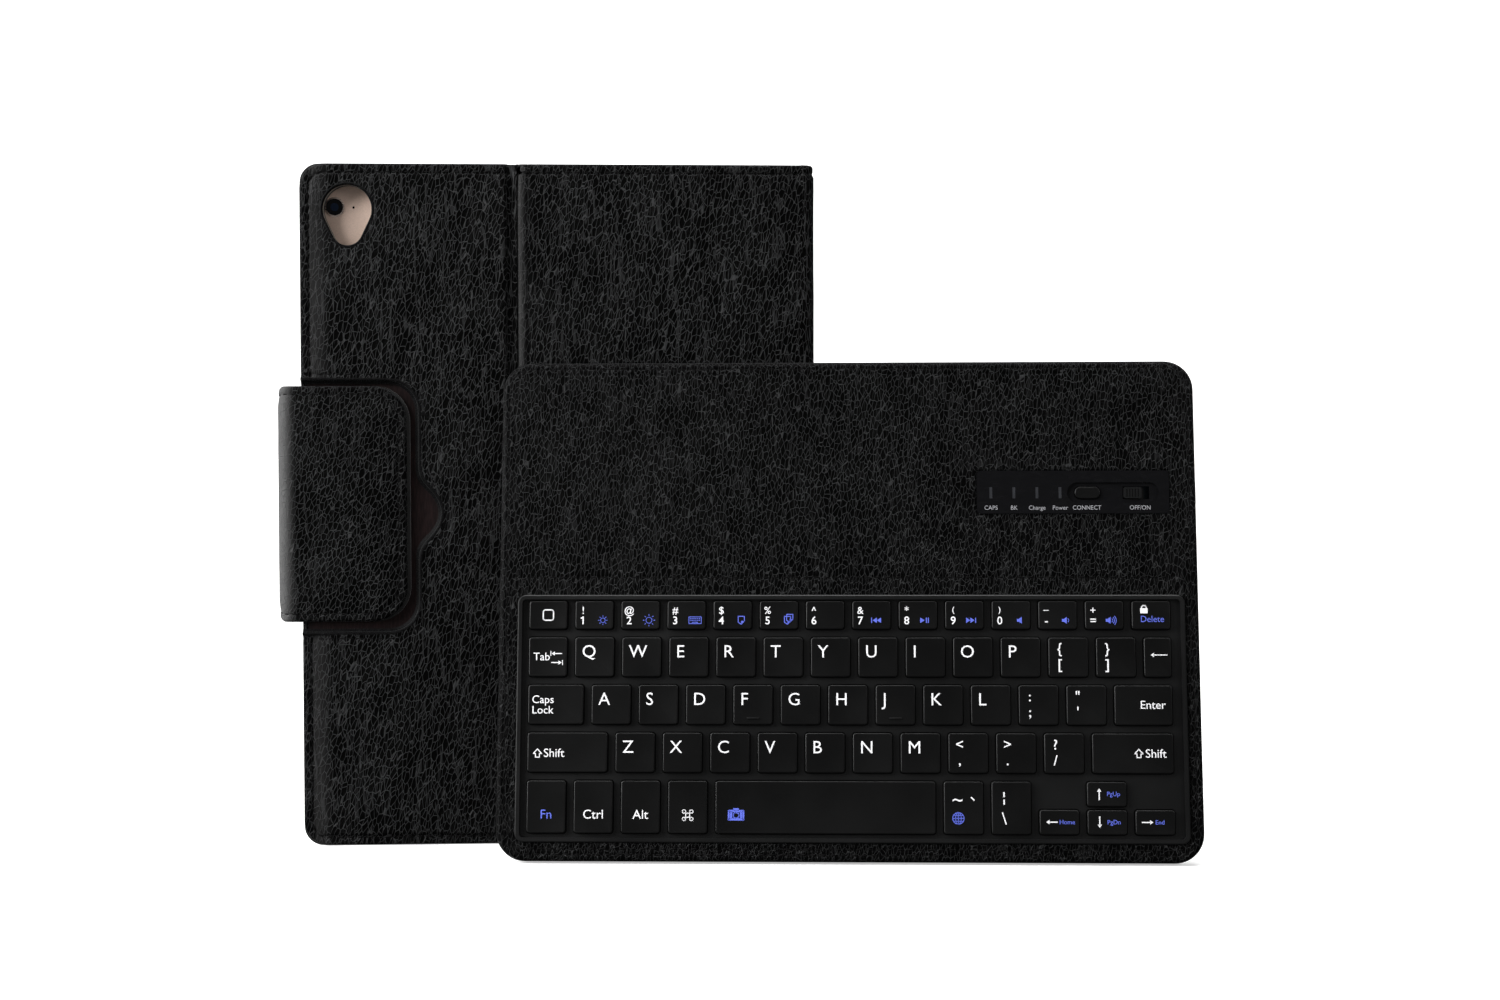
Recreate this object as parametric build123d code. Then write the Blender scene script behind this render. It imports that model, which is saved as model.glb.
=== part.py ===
from build123d import *
import copy
import math
import os

# Tablet keyboard case: a folio cover standing upright, closed and clasped, and its
# detachable keyboard standing in front of it and leaning back on it.
# Millimetres. +X runs from the clasp edge to the spine, +Y from the back cover to the
# front cover, +Z up. The finished assembly is centred on X and Y, with its lowest point
# at Z = 0.

# ---- folio, driving dimensions ----
FOLIO_W = 190.0
FOLIO_H = 252.0
FOLIO_T = 21.5
FOLIO_CORNER_R = 7.0
RIM_W = 3.6
PAD_RISE = 0.5
SKIN_T = 0.6
BOARD_T = 1.2
LINING_T = 0.6
EDGE_WRAP = 2.0
SKIN_IN = PAD_RISE + SKIN_T
BOARD_IN = SKIN_IN + BOARD_T
LINING_IN = BOARD_IN + LINING_T
JOINT_GAP = 0.3

CREASE_X = 77.8
CREASE_HALF = 1.6
CREASE_Y = 0.9
STRIP_T = 0.6

SPINE_X = 185.5
SPINE_R = FOLIO_W - SPINE_X
SPINE_SKIN_T = 0.9
SPINE_BOARD_T = 1.2

# ---- tablet tray ----
TABLET_W = 169.5
TABLET_H = 240.0
TABLET_T = 6.1
TABLET_FIT = 0.2
TABLET_X = 3.3
TABLET_Z = 6.0
TRAY_WALL = 1.2
TRAY_BACK_T = 1.2
TRAY_LIP_T = 0.7
TRAY_LIP_IN = 1.6
TRAY_LIP_RUN = 26.0
TRAY_R = 8.0
GLUE_T = 0.3
GLUE_X0 = 30.0
GLUE_EDGE = 10.0
PORT_SLOT_W = 46.0
SIDE_SLOT_H = 52.0

# ---- camera window: a large circle over a smaller one, joined by tangents ----
LENS_X = 17.6
LENS_Z = 235.1
LENS_R = 8.9
LENS_TIP_Z = 227.4
LENS_TIP_R = 5.6

# ---- clasp ----
CLASP_TIP_X = 40.0
CLASP_Z0 = 83.1
CLASP_Z1 = 170.1
CLASP_TIP_R = 13.0
CLASP_OUT = 7.9
CLASP_PROUD = 1.0
STRAP_T = 1.4
STRAP_CORNER_R = 5.4
STRAP_FOOT_Y = 21.1
FLAP_T = 2.4
FLAP_X0 = -2.2
FLAP_SKIN_T = 1.1
FLAP_MAGNET_T = 0.7
MAGNET_W = 9.0
MAGNET_H = 18.0
SEAT_X = 43.0
SEAT_Z0 = 79.4
SEAT_Z1 = 172.0
SEAT_R = 11.0
SEAT_T = 0.6
SEAT_Y = 1.7
NOTCH_X = 51.3
NOTCH_Z0 = 107.4
NOTCH_Z1 = 139.1
NOTCH_R = 9.0
KEEPER_T = 0.4
KEEPER_W = 12.0
KEEPER_H = 60.0

# ---- dock magnets in the front cover ----
DOCK_R = 4.0
DOCK_T = 1.0
DOCK_COUNT = 6
DOCK_PITCH = 36.0
DOCK_X = 30.0

# ---- keyboard, driving dimensions ----
KB_W = 250.0
KB_H = 179.0
KB_T = 6.4
KB_CORNER_R = 10.5
KB_X = 73.5
KB_Y = -33.2
KB_YAW = -4.04
KB_LEAN = 7.93
KB_SKIN_T = 0.9
KB_WALL = 2.0
KB_FIT = 0.05
KB_EDGE = 0.4
PLATE_T = 0.6
BOARD_FLOOR = 5.5
PLATE_TOP = BOARD_FLOOR - PLATE_T
DECK_T = 0.7

FRAME_U0 = 6.9
FRAME_U1 = 244.8
FRAME_V0 = 6.8
FRAME_V1 = 94.3
FRAME_R = 3.0
FRAME_RIM = 1.6
FRAME_RISE = 0.5
FRAME_FLOOR = 0.9
FRAME_FLOOR_T = 0.7

# ---- keys ----
KEY_U0 = 11.1
KEY_U1 = 239.5
KEY_GAP = 2.9
KEY_R = 1.0
KEY_TOP = 0.4
KEY_SKIRT = 1.9
KEY_FLANGE_T = 0.4
KEY_FLANGE_OUT = 0.7
KEY_CLEAR = 0.35
KEY_BEVEL = 0.25
ROW_H = 14.0
BOTTOM_V = 10.0
BOTTOM_H = 18.4
LOWER_V = BOTTOM_V + BOTTOM_H + KEY_GAP
HOME_V = LOWER_V + ROW_H + KEY_GAP
UPPER_V = HOME_V + ROW_H + KEY_GAP
NUMBER_V = UPPER_V + ROW_H + KEY_GAP
NUMBER_H = 10.1
LETTER_W = 13.95
TAB_W = 13.7
CAPS_W = 19.8
MODIFIER_W = 13.85
ARROW_GAP = 1.2
ARROW_H = (BOTTOM_H - ARROW_GAP) / 2
NUMBER_KEYS = 14
UPPER_LETTERS = 12
HOME_LETTERS = 11
LOWER_LETTERS = 10

# ---- under the keys ----
DOME_TOP = 3.9
DOME_T = 0.4
PCB_TOP = 4.3
PCB_T = 0.5
BATTERY_U0 = 28.0
BATTERY_W = 96.0
BATTERY_V0 = 108.0
BATTERY_H = 52.0
BATTERY_TOP = 1.9
BATTERY_T = 2.8

# ---- control panel ----
PANEL_U0 = 171.5
PANEL_U1 = 240.2
PANEL_V0 = 123.4
PANEL_V1 = 138.9
PANEL_R = 1.5
PANEL_PROUD = 0.1
SLOT_U0 = 203.8
SLOT_U1 = 236.6
SLOT_V = 130.9
SLOT_H = 7.4
SLOT_DEPTH = 0.6
LED_U0 = 176.6
LED_PITCH = 8.23
LED_COUNT = 4
LED_W = 1.0
LED_H = 4.0
BUTTON_U = 211.1
BUTTON_W = 9.0
BUTTON_H = 4.2
SWITCH_U = 227.2
SWITCH_W = 6.4
SWITCH_H = 4.0
SWITCH_TRAVEL = 2.5
CONTROL_CLEAR = 0.3
CONTROL_TOP = 0.1
CONTROL_FOOT = 1.7

# ---- charge port, in the right edge ----
PORT_V = 131.0
PORT_W = 7.6
PORT_T = 2.8
PORT_L = 5.6
PORT_SHELL = 0.3
PORT_MID = 3.2


def face_plane(y):
    """Plane facing the back of the case, with local x along X and local y along Z."""
    return Plane(origin=(0, y, 0), x_dir=(1, 0, 0), z_dir=(0, -1, 0))


def sheet(outline, near, far, face=0.0, inward=1):
    """Extrude an X-Z outline between two depths measured inward from a cover's face."""
    low, high = sorted((face + inward * near, face + inward * far))
    return extrude(face_plane(high) * outline, high - low)


def rect(x0, x1, z0, z1):
    return Pos((x0 + x1) / 2, (z0 + z1) / 2) * Rectangle(x1 - x0, z1 - z0)


def round_rect(x0, x1, z0, z1, radius):
    return Pos((x0 + x1) / 2, (z0 + z1) / 2) * RectangleRounded(x1 - x0, z1 - z0, radius)


def half_round(x0, x1, z0, z1, radius, side):
    """Rectangle with the two corners on one side ("left" or "right") rounded."""
    wide = round_rect(x0, x1, z0, z1, radius)
    middle = (x0 + x1) / 2
    square = rect(middle, x1, z0, z1) if side == "left" else rect(x0, middle, z0, z1)
    return wide + square


def lens_window(grow=0.0):
    """Egg-shaped camera window: the hull of a large circle over a small one."""
    big = LENS_R + grow
    small = LENS_TIP_R + grow
    flare = math.asin((big - small) / (LENS_Z - LENS_TIP_Z))
    out = math.cos(flare)
    drop = math.sin(flare)
    right = (LENS_X + big * out, LENS_Z - big * drop)
    low_right = (LENS_X + small * out, LENS_TIP_Z - small * drop)
    low_left = (LENS_X - small * out, LENS_TIP_Z - small * drop)
    left = (LENS_X - big * out, LENS_Z - big * drop)
    web = make_face(Polyline(right, low_right, low_left, left, close=True))
    return Pos(LENS_X, LENS_Z) * Circle(big) + Pos(LENS_X, LENS_TIP_Z) * Circle(small) + web


def clasp_recess(grow=0.0):
    """Outline of the clasp's seat, open at the left edge, with its finger notch."""
    seat = round_rect(-SEAT_X, SEAT_X + grow, SEAT_Z0 - grow, SEAT_Z1 + grow, SEAT_R)
    notch = round_rect(SEAT_X - 2 * NOTCH_R, NOTCH_X + grow, NOTCH_Z0 - grow, NOTCH_Z1 + grow, NOTCH_R)
    return seat + notch


# ---- folio covers: each is a leather skin, a stiff board and a lining ----

def cover_skin(outline, board, pad, face=0.0, inward=1):
    """Outer leather: a rim-level sheet with a raised pad and edges wrapped round the board."""
    skin = sheet(outline, PAD_RISE, SKIN_IN, face, inward)
    raised = sheet(pad, 0, PAD_RISE, face, inward)
    wrap = sheet(outline - board, SKIN_IN, BOARD_IN, face, inward)
    return skin + raised + wrap


def stand_outlines():
    left = CREASE_X + CREASE_HALF
    right = SPINE_X - JOINT_GAP
    outline = rect(left, right, 0, FOLIO_H)
    board = rect(left + EDGE_WRAP, right - EDGE_WRAP, EDGE_WRAP, FOLIO_H - EDGE_WRAP)
    pad = rect(left + 1.0, right, RIM_W, FOLIO_H - RIM_W)
    return outline, board, pad


def holder_outlines():
    right = CREASE_X - CREASE_HALF
    outline = half_round(0, right, 0, FOLIO_H, FOLIO_CORNER_R, "left")
    board = half_round(
        EDGE_WRAP, right - EDGE_WRAP, EDGE_WRAP, FOLIO_H - EDGE_WRAP, FOLIO_CORNER_R - EDGE_WRAP, "left"
    )
    pad = half_round(RIM_W, right - 0.6, RIM_W, FOLIO_H - RIM_W, FOLIO_CORNER_R - RIM_W, "left")
    return outline, board, pad


def front_outlines():
    right = SPINE_X - JOINT_GAP
    outline = half_round(0, right, 0, FOLIO_H, FOLIO_CORNER_R, "left")
    board = half_round(
        EDGE_WRAP, right - EDGE_WRAP, EDGE_WRAP, FOLIO_H - EDGE_WRAP, FOLIO_CORNER_R - EDGE_WRAP, "left"
    )
    pad = half_round(RIM_W, right, RIM_W, FOLIO_H - RIM_W, FOLIO_CORNER_R - RIM_W, "left")
    return outline, board, pad


def stand_panel():
    outline, board, pad = stand_outlines()
    return {
        "stand_skin": cover_skin(outline, board, pad),
        "stand_board": sheet(board, SKIN_IN, BOARD_IN),
        "stand_lining": sheet(outline, BOARD_IN, LINING_IN),
    }


def holder_panel():
    outline, board, pad = holder_outlines()
    window = lens_window()
    recess = clasp_recess()
    skin = cover_skin(outline, board, pad) - sheet(window, 0, BOARD_IN) - sheet(recess, -1, SEAT_Y)
    stiffener = sheet(board, SKIN_IN, BOARD_IN) - sheet(window, 0, BOARD_IN) - sheet(recess, 0, BOARD_IN)
    lining = sheet(outline, BOARD_IN, LINING_IN) - sheet(window, 0, LINING_IN)
    floor = outline & clasp_recess()
    keeper = rect(0, KEEPER_W, 0, KEEPER_H)
    middle = (SEAT_Z0 + SEAT_Z1 - KEEPER_H) / 2
    pocket = Pos(CLASP_TIP_X - KEEPER_W - 4, middle) * keeper
    wrap = outline - board
    seat = sheet(floor, SEAT_Y, BOARD_IN) - sheet(wrap, SEAT_Y, BOARD_IN) - sheet(pocket, BOARD_IN - KEEPER_T, BOARD_IN)
    return {
        "holder_skin": skin,
        "holder_board": stiffener,
        "holder_lining": lining,
        "clasp_seat": seat,
        "seat_keeper": sheet(pocket, BOARD_IN - KEEPER_T, BOARD_IN),
    }


def crease_strip():
    """Thin leather web that bends between the holder and the stand panel."""
    half = CREASE_HALF - JOINT_GAP
    web = rect(CREASE_X - half, CREASE_X + half, JOINT_GAP, FOLIO_H - JOINT_GAP)
    return {"crease_strip": sheet(web, CREASE_Y, CREASE_Y + STRIP_T)}


def tablet_tray():
    """Snap-in shell: back plate, side wall, corner lips, port slots and camera window."""
    x0 = TABLET_X - TABLET_FIT
    x1 = TABLET_X + TABLET_W + TABLET_FIT
    z0 = TABLET_Z - TABLET_FIT
    z1 = TABLET_Z + TABLET_H + TABLET_FIT
    back = LINING_IN + GLUE_T
    floor = back + TRAY_BACK_T
    rim = floor + TABLET_T + TABLET_FIT
    outer = round_rect(x0 - TRAY_WALL, x1 + TRAY_WALL, z0 - TRAY_WALL, z1 + TRAY_WALL, TRAY_R)
    pocket = round_rect(x0, x1, z0, z1, TRAY_R - TRAY_WALL)
    mouth = round_rect(
        x0 + TRAY_LIP_IN, x1 - TRAY_LIP_IN, z0 + TRAY_LIP_IN, z1 - TRAY_LIP_IN, TRAY_R - TRAY_WALL - TRAY_LIP_IN
    )
    lip = outer - mouth
    lip -= rect(x0 + TRAY_LIP_RUN, x1 - TRAY_LIP_RUN, z0 - 5, z1 + 5)
    lip -= rect(x0 - 5, x1 + 5, z0 + TRAY_LIP_RUN, z1 - TRAY_LIP_RUN)
    middle = (x0 + x1) / 2
    port = rect(middle - PORT_SLOT_W / 2, middle + PORT_SLOT_W / 2, z0 - 5, z0 + 2)
    jack = rect(middle - PORT_SLOT_W / 2, middle + PORT_SLOT_W / 2, z1 - 2, z1 + 5)
    side = rect(x0 - 5, x0 + 1, z1 - TRAY_LIP_RUN - SIDE_SLOT_H, z1 - TRAY_LIP_RUN)
    shell = sheet(outer, back, floor) + sheet(outer - pocket, floor, rim) + sheet(lip, rim, rim + TRAY_LIP_T)
    slots = sheet(port, floor, rim + 1) + sheet(jack, floor, rim + 1) + sheet(side, floor, rim + 1)
    glue = rect(GLUE_X0, CREASE_X - GLUE_EDGE, GLUE_EDGE, FOLIO_H - GLUE_EDGE)
    return {
        "tablet_tray": shell - slots - sheet(lens_window(), back - 1, floor + 1),
        "tray_adhesive": sheet(glue, LINING_IN, back),
    }


def corner_strip(centre_y, quarter):
    """Quarter-round leather strip that bends at one edge of the spine."""
    outer = Pos(SPINE_X, centre_y) * Circle(SPINE_R)
    ring = outer - Pos(SPINE_X, centre_y) * Circle(SPINE_R - SPINE_SKIN_T)
    keep = Pos(SPINE_X + SPINE_R / 2, centre_y + quarter * SPINE_R / 2) * Rectangle(SPINE_R, SPINE_R)
    return Pos(0, 0, JOINT_GAP) * extrude(ring & keep, FOLIO_H - 2 * JOINT_GAP)


def spine():
    y0 = SPINE_R + JOINT_GAP
    y1 = FOLIO_T - SPINE_R - JOINT_GAP
    middle = (y0 + y1) / 2
    inner = FOLIO_W - SPINE_SKIN_T
    skin = Pos(inner + SPINE_SKIN_T / 2, middle, FOLIO_H / 2) * Box(SPINE_SKIN_T, y1 - y0, FOLIO_H)
    board = Pos(inner - SPINE_BOARD_T / 2, middle, FOLIO_H / 2) * Box(
        SPINE_BOARD_T, y1 - y0 - JOINT_GAP, FOLIO_H - 2 * EDGE_WRAP
    )
    return {
        "spine_skin": skin,
        "spine_board": board,
        "back_hinge_strip": corner_strip(SPINE_R, -1),
        "front_hinge_strip": corner_strip(FOLIO_T - SPINE_R, 1),
    }


def front_cover():
    outline, board, pad = front_outlines()
    discs = Sketch()
    for index in range(DOCK_COUNT):
        discs += Pos(DOCK_X, FOLIO_H / 2 + (index - (DOCK_COUNT - 1) / 2) * DOCK_PITCH) * Circle(DOCK_R)
    magnets = sheet(discs, BOARD_IN - DOCK_T, BOARD_IN, FOLIO_T, -1)
    return {
        "cover_skin": cover_skin(outline, board, pad, FOLIO_T, -1),
        "cover_board": sheet(board, SKIN_IN, BOARD_IN, FOLIO_T, -1) - magnets,
        "cover_lining": sheet(outline, BOARD_IN, LINING_IN, FOLIO_T, -1),
        "dock_magnets": magnets,
    }


def clasp():
    """Strap looping round the free edge, and the padded flap with magnets in its tip."""
    left = -CLASP_OUT
    right = -2 * JOINT_GAP + 0.25
    near = -CLASP_PROUD
    loop = round_rect(left, -left, near, STRAP_FOOT_Y, STRAP_CORNER_R)
    hollow = round_rect(
        left + STRAP_T, -left - STRAP_T, near + STRAP_T, STRAP_FOOT_Y - STRAP_T, STRAP_CORNER_R - STRAP_T
    )
    half = rect(left, right, near + STRAP_T, STRAP_FOOT_Y)
    foot = rect(left, FLAP_X0 - JOINT_GAP, near, STRAP_FOOT_Y)
    band = (loop - hollow) & (half + foot)
    strap = Pos(0, 0, CLASP_Z0) * extrude(band, CLASP_Z1 - CLASP_Z0)
    strap -= Pos(0, near, (CLASP_Z0 + CLASP_Z1) / 2) * Box(
        2 * (JOINT_GAP - FLAP_X0), 2 * (STRAP_T + JOINT_GAP), CLASP_Z1 - CLASP_Z0
    )
    outline = half_round(FLAP_X0, CLASP_TIP_X, CLASP_Z0, CLASP_Z1, CLASP_TIP_R, "right")
    middle = (CLASP_Z0 + CLASP_Z1) / 2
    pads = Sketch()
    for side in (-1, 1):
        pads += Pos(CLASP_TIP_X - 6 - MAGNET_W / 2, middle + side * MAGNET_H) * Rectangle(MAGNET_W, MAGNET_H)
    magnet_y = FLAP_SKIN_T - CLASP_PROUD
    skin = sheet(outline, -CLASP_PROUD, magnet_y)
    skin += sheet(outline - half_round(
        FLAP_X0 + 2, CLASP_TIP_X - 2, CLASP_Z0 + 2, CLASP_Z1 - 2, CLASP_TIP_R - 2, "right"
    ), magnet_y, magnet_y + FLAP_MAGNET_T)
    magnets = sheet(pads, magnet_y, magnet_y + FLAP_MAGNET_T)
    lining = sheet(outline, magnet_y + FLAP_MAGNET_T, FLAP_T - CLASP_PROUD)
    return {"clasp_strap": strap, "flap_skin": skin, "flap_magnets": magnets, "flap_lining": lining}


# ---- keyboard, built flat: x = u to the right, y = v up the board, z = out of its face ----

def kb_outline(inset=0.0):
    return round_rect(inset, KB_W - inset, inset, KB_H - inset, KB_CORNER_R - inset)


def kb_layer(outline, top, bottom):
    """Extrude a u-v outline between two depths measured down from the board's face."""
    return Pos(0, 0, -bottom) * extrude(outline, bottom - top)


def key_rows():
    """Names of the special keys and row groups, each with its cap rectangles."""
    keys = {}

    def lay(row_v, height, run):
        u = KEY_U0
        for name, width in run:
            keys.setdefault(name, []).append((u, row_v, width, height))
            u += width + KEY_GAP

    number_w = (KEY_U1 - KEY_U0 - (NUMBER_KEYS - 1) * KEY_GAP) / NUMBER_KEYS
    numbers = [("keys_number_row", number_w)] * (NUMBER_KEYS - 2)
    lay(NUMBER_V, NUMBER_H, [("key_home", number_w)] + numbers + [("key_delete", number_w)])
    span = KEY_U1 - KEY_U0
    back_w = span - TAB_W - UPPER_LETTERS * LETTER_W - (UPPER_LETTERS + 1) * KEY_GAP
    upper = [("keys_upper_row", LETTER_W)] * UPPER_LETTERS
    lay(UPPER_V, ROW_H, [("key_tab", TAB_W)] + upper + [("key_backspace", back_w)])
    enter_w = span - CAPS_W - HOME_LETTERS * LETTER_W - (HOME_LETTERS + 1) * KEY_GAP
    home = [("keys_home_row", LETTER_W)] * HOME_LETTERS
    lay(HOME_V, ROW_H, [("key_caps", CAPS_W)] + home + [("key_enter", enter_w)])
    shift_w = (span - LOWER_LETTERS * LETTER_W - (LOWER_LETTERS + 1) * KEY_GAP) / 2
    lower = [("keys_lower_row", LETTER_W)] * LOWER_LETTERS
    lay(LOWER_V, ROW_H, [("key_shift_left", shift_w)] + lower + [("key_shift_right", shift_w)])
    step = MODIFIER_W + KEY_GAP
    for index, name in enumerate(("key_fn", "key_ctrl", "key_alt", "key_command")):
        keys[name] = [(KEY_U0 + index * step, BOTTOM_V, MODIFIER_W, BOTTOM_H)]
    for index, name in enumerate(("key_arrow_right", "key_arrow_up", "key_arrow_left", "key_backslash", "key_tilde")):
        keys[name] = [(KEY_U1 - MODIFIER_W - index * step, BOTTOM_V, MODIFIER_W, BOTTOM_H)]
    space_u = KEY_U0 + 4 * step
    keys["key_space"] = [(space_u, BOTTOM_V, KEY_U1 - 5 * step - space_u, BOTTOM_H)]
    for name in ("key_arrow_right", "key_arrow_left"):
        u, v, width, _ = keys[name][0]
        keys[name] = [(u, v, width, ARROW_H)]
    u, v, width, _ = keys["key_arrow_up"][0]
    keys["key_arrow_up"] = [(u, v + ARROW_H + ARROW_GAP, width, ARROW_H)]
    keys["key_arrow_down"] = [(u, v, width, ARROW_H)]
    return keys


def key_sketch(cap, grow=0.0):
    u, v, width, height = cap
    return round_rect(u - grow, u + width + grow, v - grow, v + height + grow, KEY_R + max(grow, 0))


def key_cap(cap):
    """One cap: a bevelled top standing through the frame, with a retaining flange."""
    body = kb_layer(key_sketch(cap), -KEY_TOP, KEY_SKIRT)
    body = chamfer(body.faces().sort_by(Axis.Z)[-1].edges(), KEY_BEVEL)
    flange_out = min(KEY_FLANGE_OUT, ARROW_GAP / 2 - 0.15) if cap[3] == ARROW_H else KEY_FLANGE_OUT
    return body + kb_layer(key_sketch(cap, flange_out), KEY_SKIRT, KEY_SKIRT + KEY_FLANGE_T)


def keys():
    groups = {}
    for name, caps in key_rows().items():
        groups[name] = Compound(children=[key_cap(cap) for cap in caps])
    return groups


def key_frame():
    """Bezel round the keys with a floor that has one hole for each cap."""
    outer = round_rect(FRAME_U0, FRAME_U1, FRAME_V0, FRAME_V1, FRAME_R)
    inner = round_rect(
        FRAME_U0 + FRAME_RIM, FRAME_U1 - FRAME_RIM, FRAME_V0 + FRAME_RIM, FRAME_V1 - FRAME_RIM, FRAME_R - FRAME_RIM
    )
    rim = kb_layer(outer - inner, -FRAME_RISE, FRAME_FLOOR)
    top = rim.faces().sort_by(Axis.Z)[-1]
    rim = chamfer(top.outer_wire().edges(), FRAME_RISE - 0.1)
    holes = Sketch()
    for caps in key_rows().values():
        for cap in caps:
            holes += key_sketch(cap, KEY_CLEAR)
    return {"key_frame": rim + kb_layer(outer - holes, FRAME_FLOOR, FRAME_FLOOR + FRAME_FLOOR_T)}


def panel_sketch(grow=0.0):
    return round_rect(PANEL_U0 - grow, PANEL_U1 + grow, PANEL_V0 - grow, PANEL_V1 + grow, PANEL_R)


def port_cut(grow, length):
    """Rectangular bar through the right edge, for the charge port."""
    return Pos(KB_W - length / 2 + 1, PORT_V, -PORT_MID) * Box(
        length + 2, PORT_W + 2 * grow, PORT_T + 2 * grow
    )


def kb_shell():
    """Leather top and base skins with the plastic housing and steel plate between them."""
    opening = round_rect(FRAME_U0, FRAME_U1, FRAME_V0, FRAME_V1, FRAME_R)
    face = kb_layer(kb_outline() - opening - panel_sketch(), 0, KB_SKIN_T)
    face = chamfer(face.faces().sort_by(Axis.Z)[-1].outer_wire().edges(), KB_EDGE)
    wall = kb_layer(kb_outline() - kb_outline(KB_SKIN_T), KB_SKIN_T, BOARD_FLOOR)
    base = kb_layer(kb_outline(), BOARD_FLOOR, KB_T)
    base = chamfer(base.faces().sort_by(Axis.Z)[0].edges(), KB_EDGE)
    inner = kb_outline(KB_SKIN_T + KB_FIT)
    cavity = kb_outline(KB_SKIN_T + KB_WALL)
    frame_seat = round_rect(
        FRAME_U0 - KB_FIT, FRAME_U1 + KB_FIT, FRAME_V0 - KB_FIT, FRAME_V1 + KB_FIT, FRAME_R
    )
    deck = kb_layer(inner - frame_seat - panel_sketch(KB_FIT), KB_SKIN_T, KB_SKIN_T + DECK_T)
    ring = kb_layer(inner - cavity, KB_SKIN_T + DECK_T, PLATE_TOP)
    return {
        "board_top_skin": face + wall - port_cut(0, PORT_L),
        "board_base_skin": base,
        "board_housing": deck + ring - port_cut(0, PORT_L),
        "dock_plate": kb_layer(kb_outline(KB_SKIN_T + KB_FIT), PLATE_TOP, BOARD_FLOOR),
    }


def kb_core():
    """Dome sheet, circuit board, battery and charge port."""
    under = rect(FRAME_U0 + 1, FRAME_U1 - 1, FRAME_V0 + 1, FRAME_V1 - 1)
    control = rect(PANEL_U0 - 6, KB_W - KB_SKIN_T - KB_WALL - 0.5, FRAME_V1 - 1, PANEL_V1 + 4)
    port = port_cut(0, PORT_L)
    mouth = port_cut(-PORT_SHELL, PORT_L - PORT_SHELL)
    board = kb_layer(under + control, PCB_TOP, PCB_TOP + PCB_T) - port_cut(KB_FIT, PORT_L + 1)
    shell = (port - mouth) & Pos(KB_W / 2, KB_H / 2, 0) * Box(KB_W, KB_H, 4 * KB_T)
    battery = round_rect(
        BATTERY_U0, BATTERY_U0 + BATTERY_W, BATTERY_V0, BATTERY_V0 + BATTERY_H, 2
    )
    return {
        "dome_sheet": kb_layer(under, DOME_TOP, DOME_TOP + DOME_T),
        "circuit_board": board,
        "battery": kb_layer(battery, BATTERY_TOP, BATTERY_TOP + BATTERY_T),
        "charge_port": shell,
    }


def oval(u, width, height):
    return Pos(u, SLOT_V) * RectangleRounded(width, height, height / 2 - 0.01)


def kb_controls():
    """Glossy control panel, its light guides, the connect button and the power switch."""
    slot = Pos((SLOT_U0 + SLOT_U1) / 2, SLOT_V) * RectangleRounded(SLOT_U1 - SLOT_U0, SLOT_H, SLOT_H / 2 - 0.01)
    button_hole = oval(BUTTON_U, BUTTON_W + 2 * CONTROL_CLEAR, BUTTON_H + 2 * CONTROL_CLEAR)
    travel = SWITCH_TRAVEL + 2 * CONTROL_CLEAR
    switch_u = SWITCH_U + SWITCH_TRAVEL / 2
    switch_hole = Pos(switch_u, SLOT_V) * Rectangle(SWITCH_W + travel, SWITCH_H + 2 * CONTROL_CLEAR)
    lights = Sketch()
    for index in range(LED_COUNT):
        lights += Pos(LED_U0 + index * LED_PITCH, SLOT_V) * Rectangle(LED_W, LED_H)
    panel = kb_layer(panel_sketch() - lights, -PANEL_PROUD, SLOT_DEPTH + KB_SKIN_T)
    panel -= kb_layer(slot, -PANEL_PROUD, SLOT_DEPTH)
    panel -= kb_layer(button_hole + switch_hole, -PANEL_PROUD, SLOT_DEPTH + KB_SKIN_T)
    button = kb_layer(oval(BUTTON_U, BUTTON_W, BUTTON_H), -CONTROL_TOP, SLOT_DEPTH + KB_SKIN_T + CONTROL_CLEAR)
    button = fillet(button.faces().sort_by(Axis.Z)[-1].edges(), 0.3)
    flange = oval(BUTTON_U, BUTTON_W + 4 * CONTROL_CLEAR, BUTTON_H + 4 * CONTROL_CLEAR)
    foot = SLOT_DEPTH + KB_SKIN_T + CONTROL_CLEAR
    switch_body = Pos(SWITCH_U, SLOT_V) * RectangleRounded(SWITCH_W, SWITCH_H, 0.8)
    switch = kb_layer(switch_body, -CONTROL_TOP, foot)
    grips = Sketch()
    for index in range(-2, 3):
        grips += Pos(SWITCH_U + index, SLOT_V) * Rectangle(0.4, SWITCH_H - 1)
    switch -= kb_layer(grips, -CONTROL_TOP, 0.2)
    base = Pos(SWITCH_U, SLOT_V) * Rectangle(SWITCH_W + 2, SWITCH_H + 4 * CONTROL_CLEAR)
    return {
        "control_panel": panel,
        "light_guides": kb_layer(lights, -PANEL_PROUD, SLOT_DEPTH + KB_SKIN_T),
        "connect_button": button + kb_layer(flange, foot, foot + CONTROL_CLEAR),
        "power_switch": switch + kb_layer(base, foot, foot + CONTROL_CLEAR),
    }


def keyboard():
    """All keyboard pieces, leaned back from its lower rear edge and turned a little."""
    yaw = math.radians(KB_YAW)
    lean = math.radians(KB_LEAN)
    lift = KB_T * math.sin(lean)
    right = (math.cos(yaw), math.sin(yaw), 0)
    out = (math.sin(yaw) * math.cos(lean), -math.cos(yaw) * math.cos(lean), math.sin(lean))
    stand = Plane(origin=(KB_X, KB_Y, lift), x_dir=right, z_dir=out)
    pieces = {**kb_shell(), **key_frame(), **kb_core(), **kb_controls(), **keys()}
    return {name: piece.moved(stand.location) for name, piece in pieces.items()}


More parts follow.
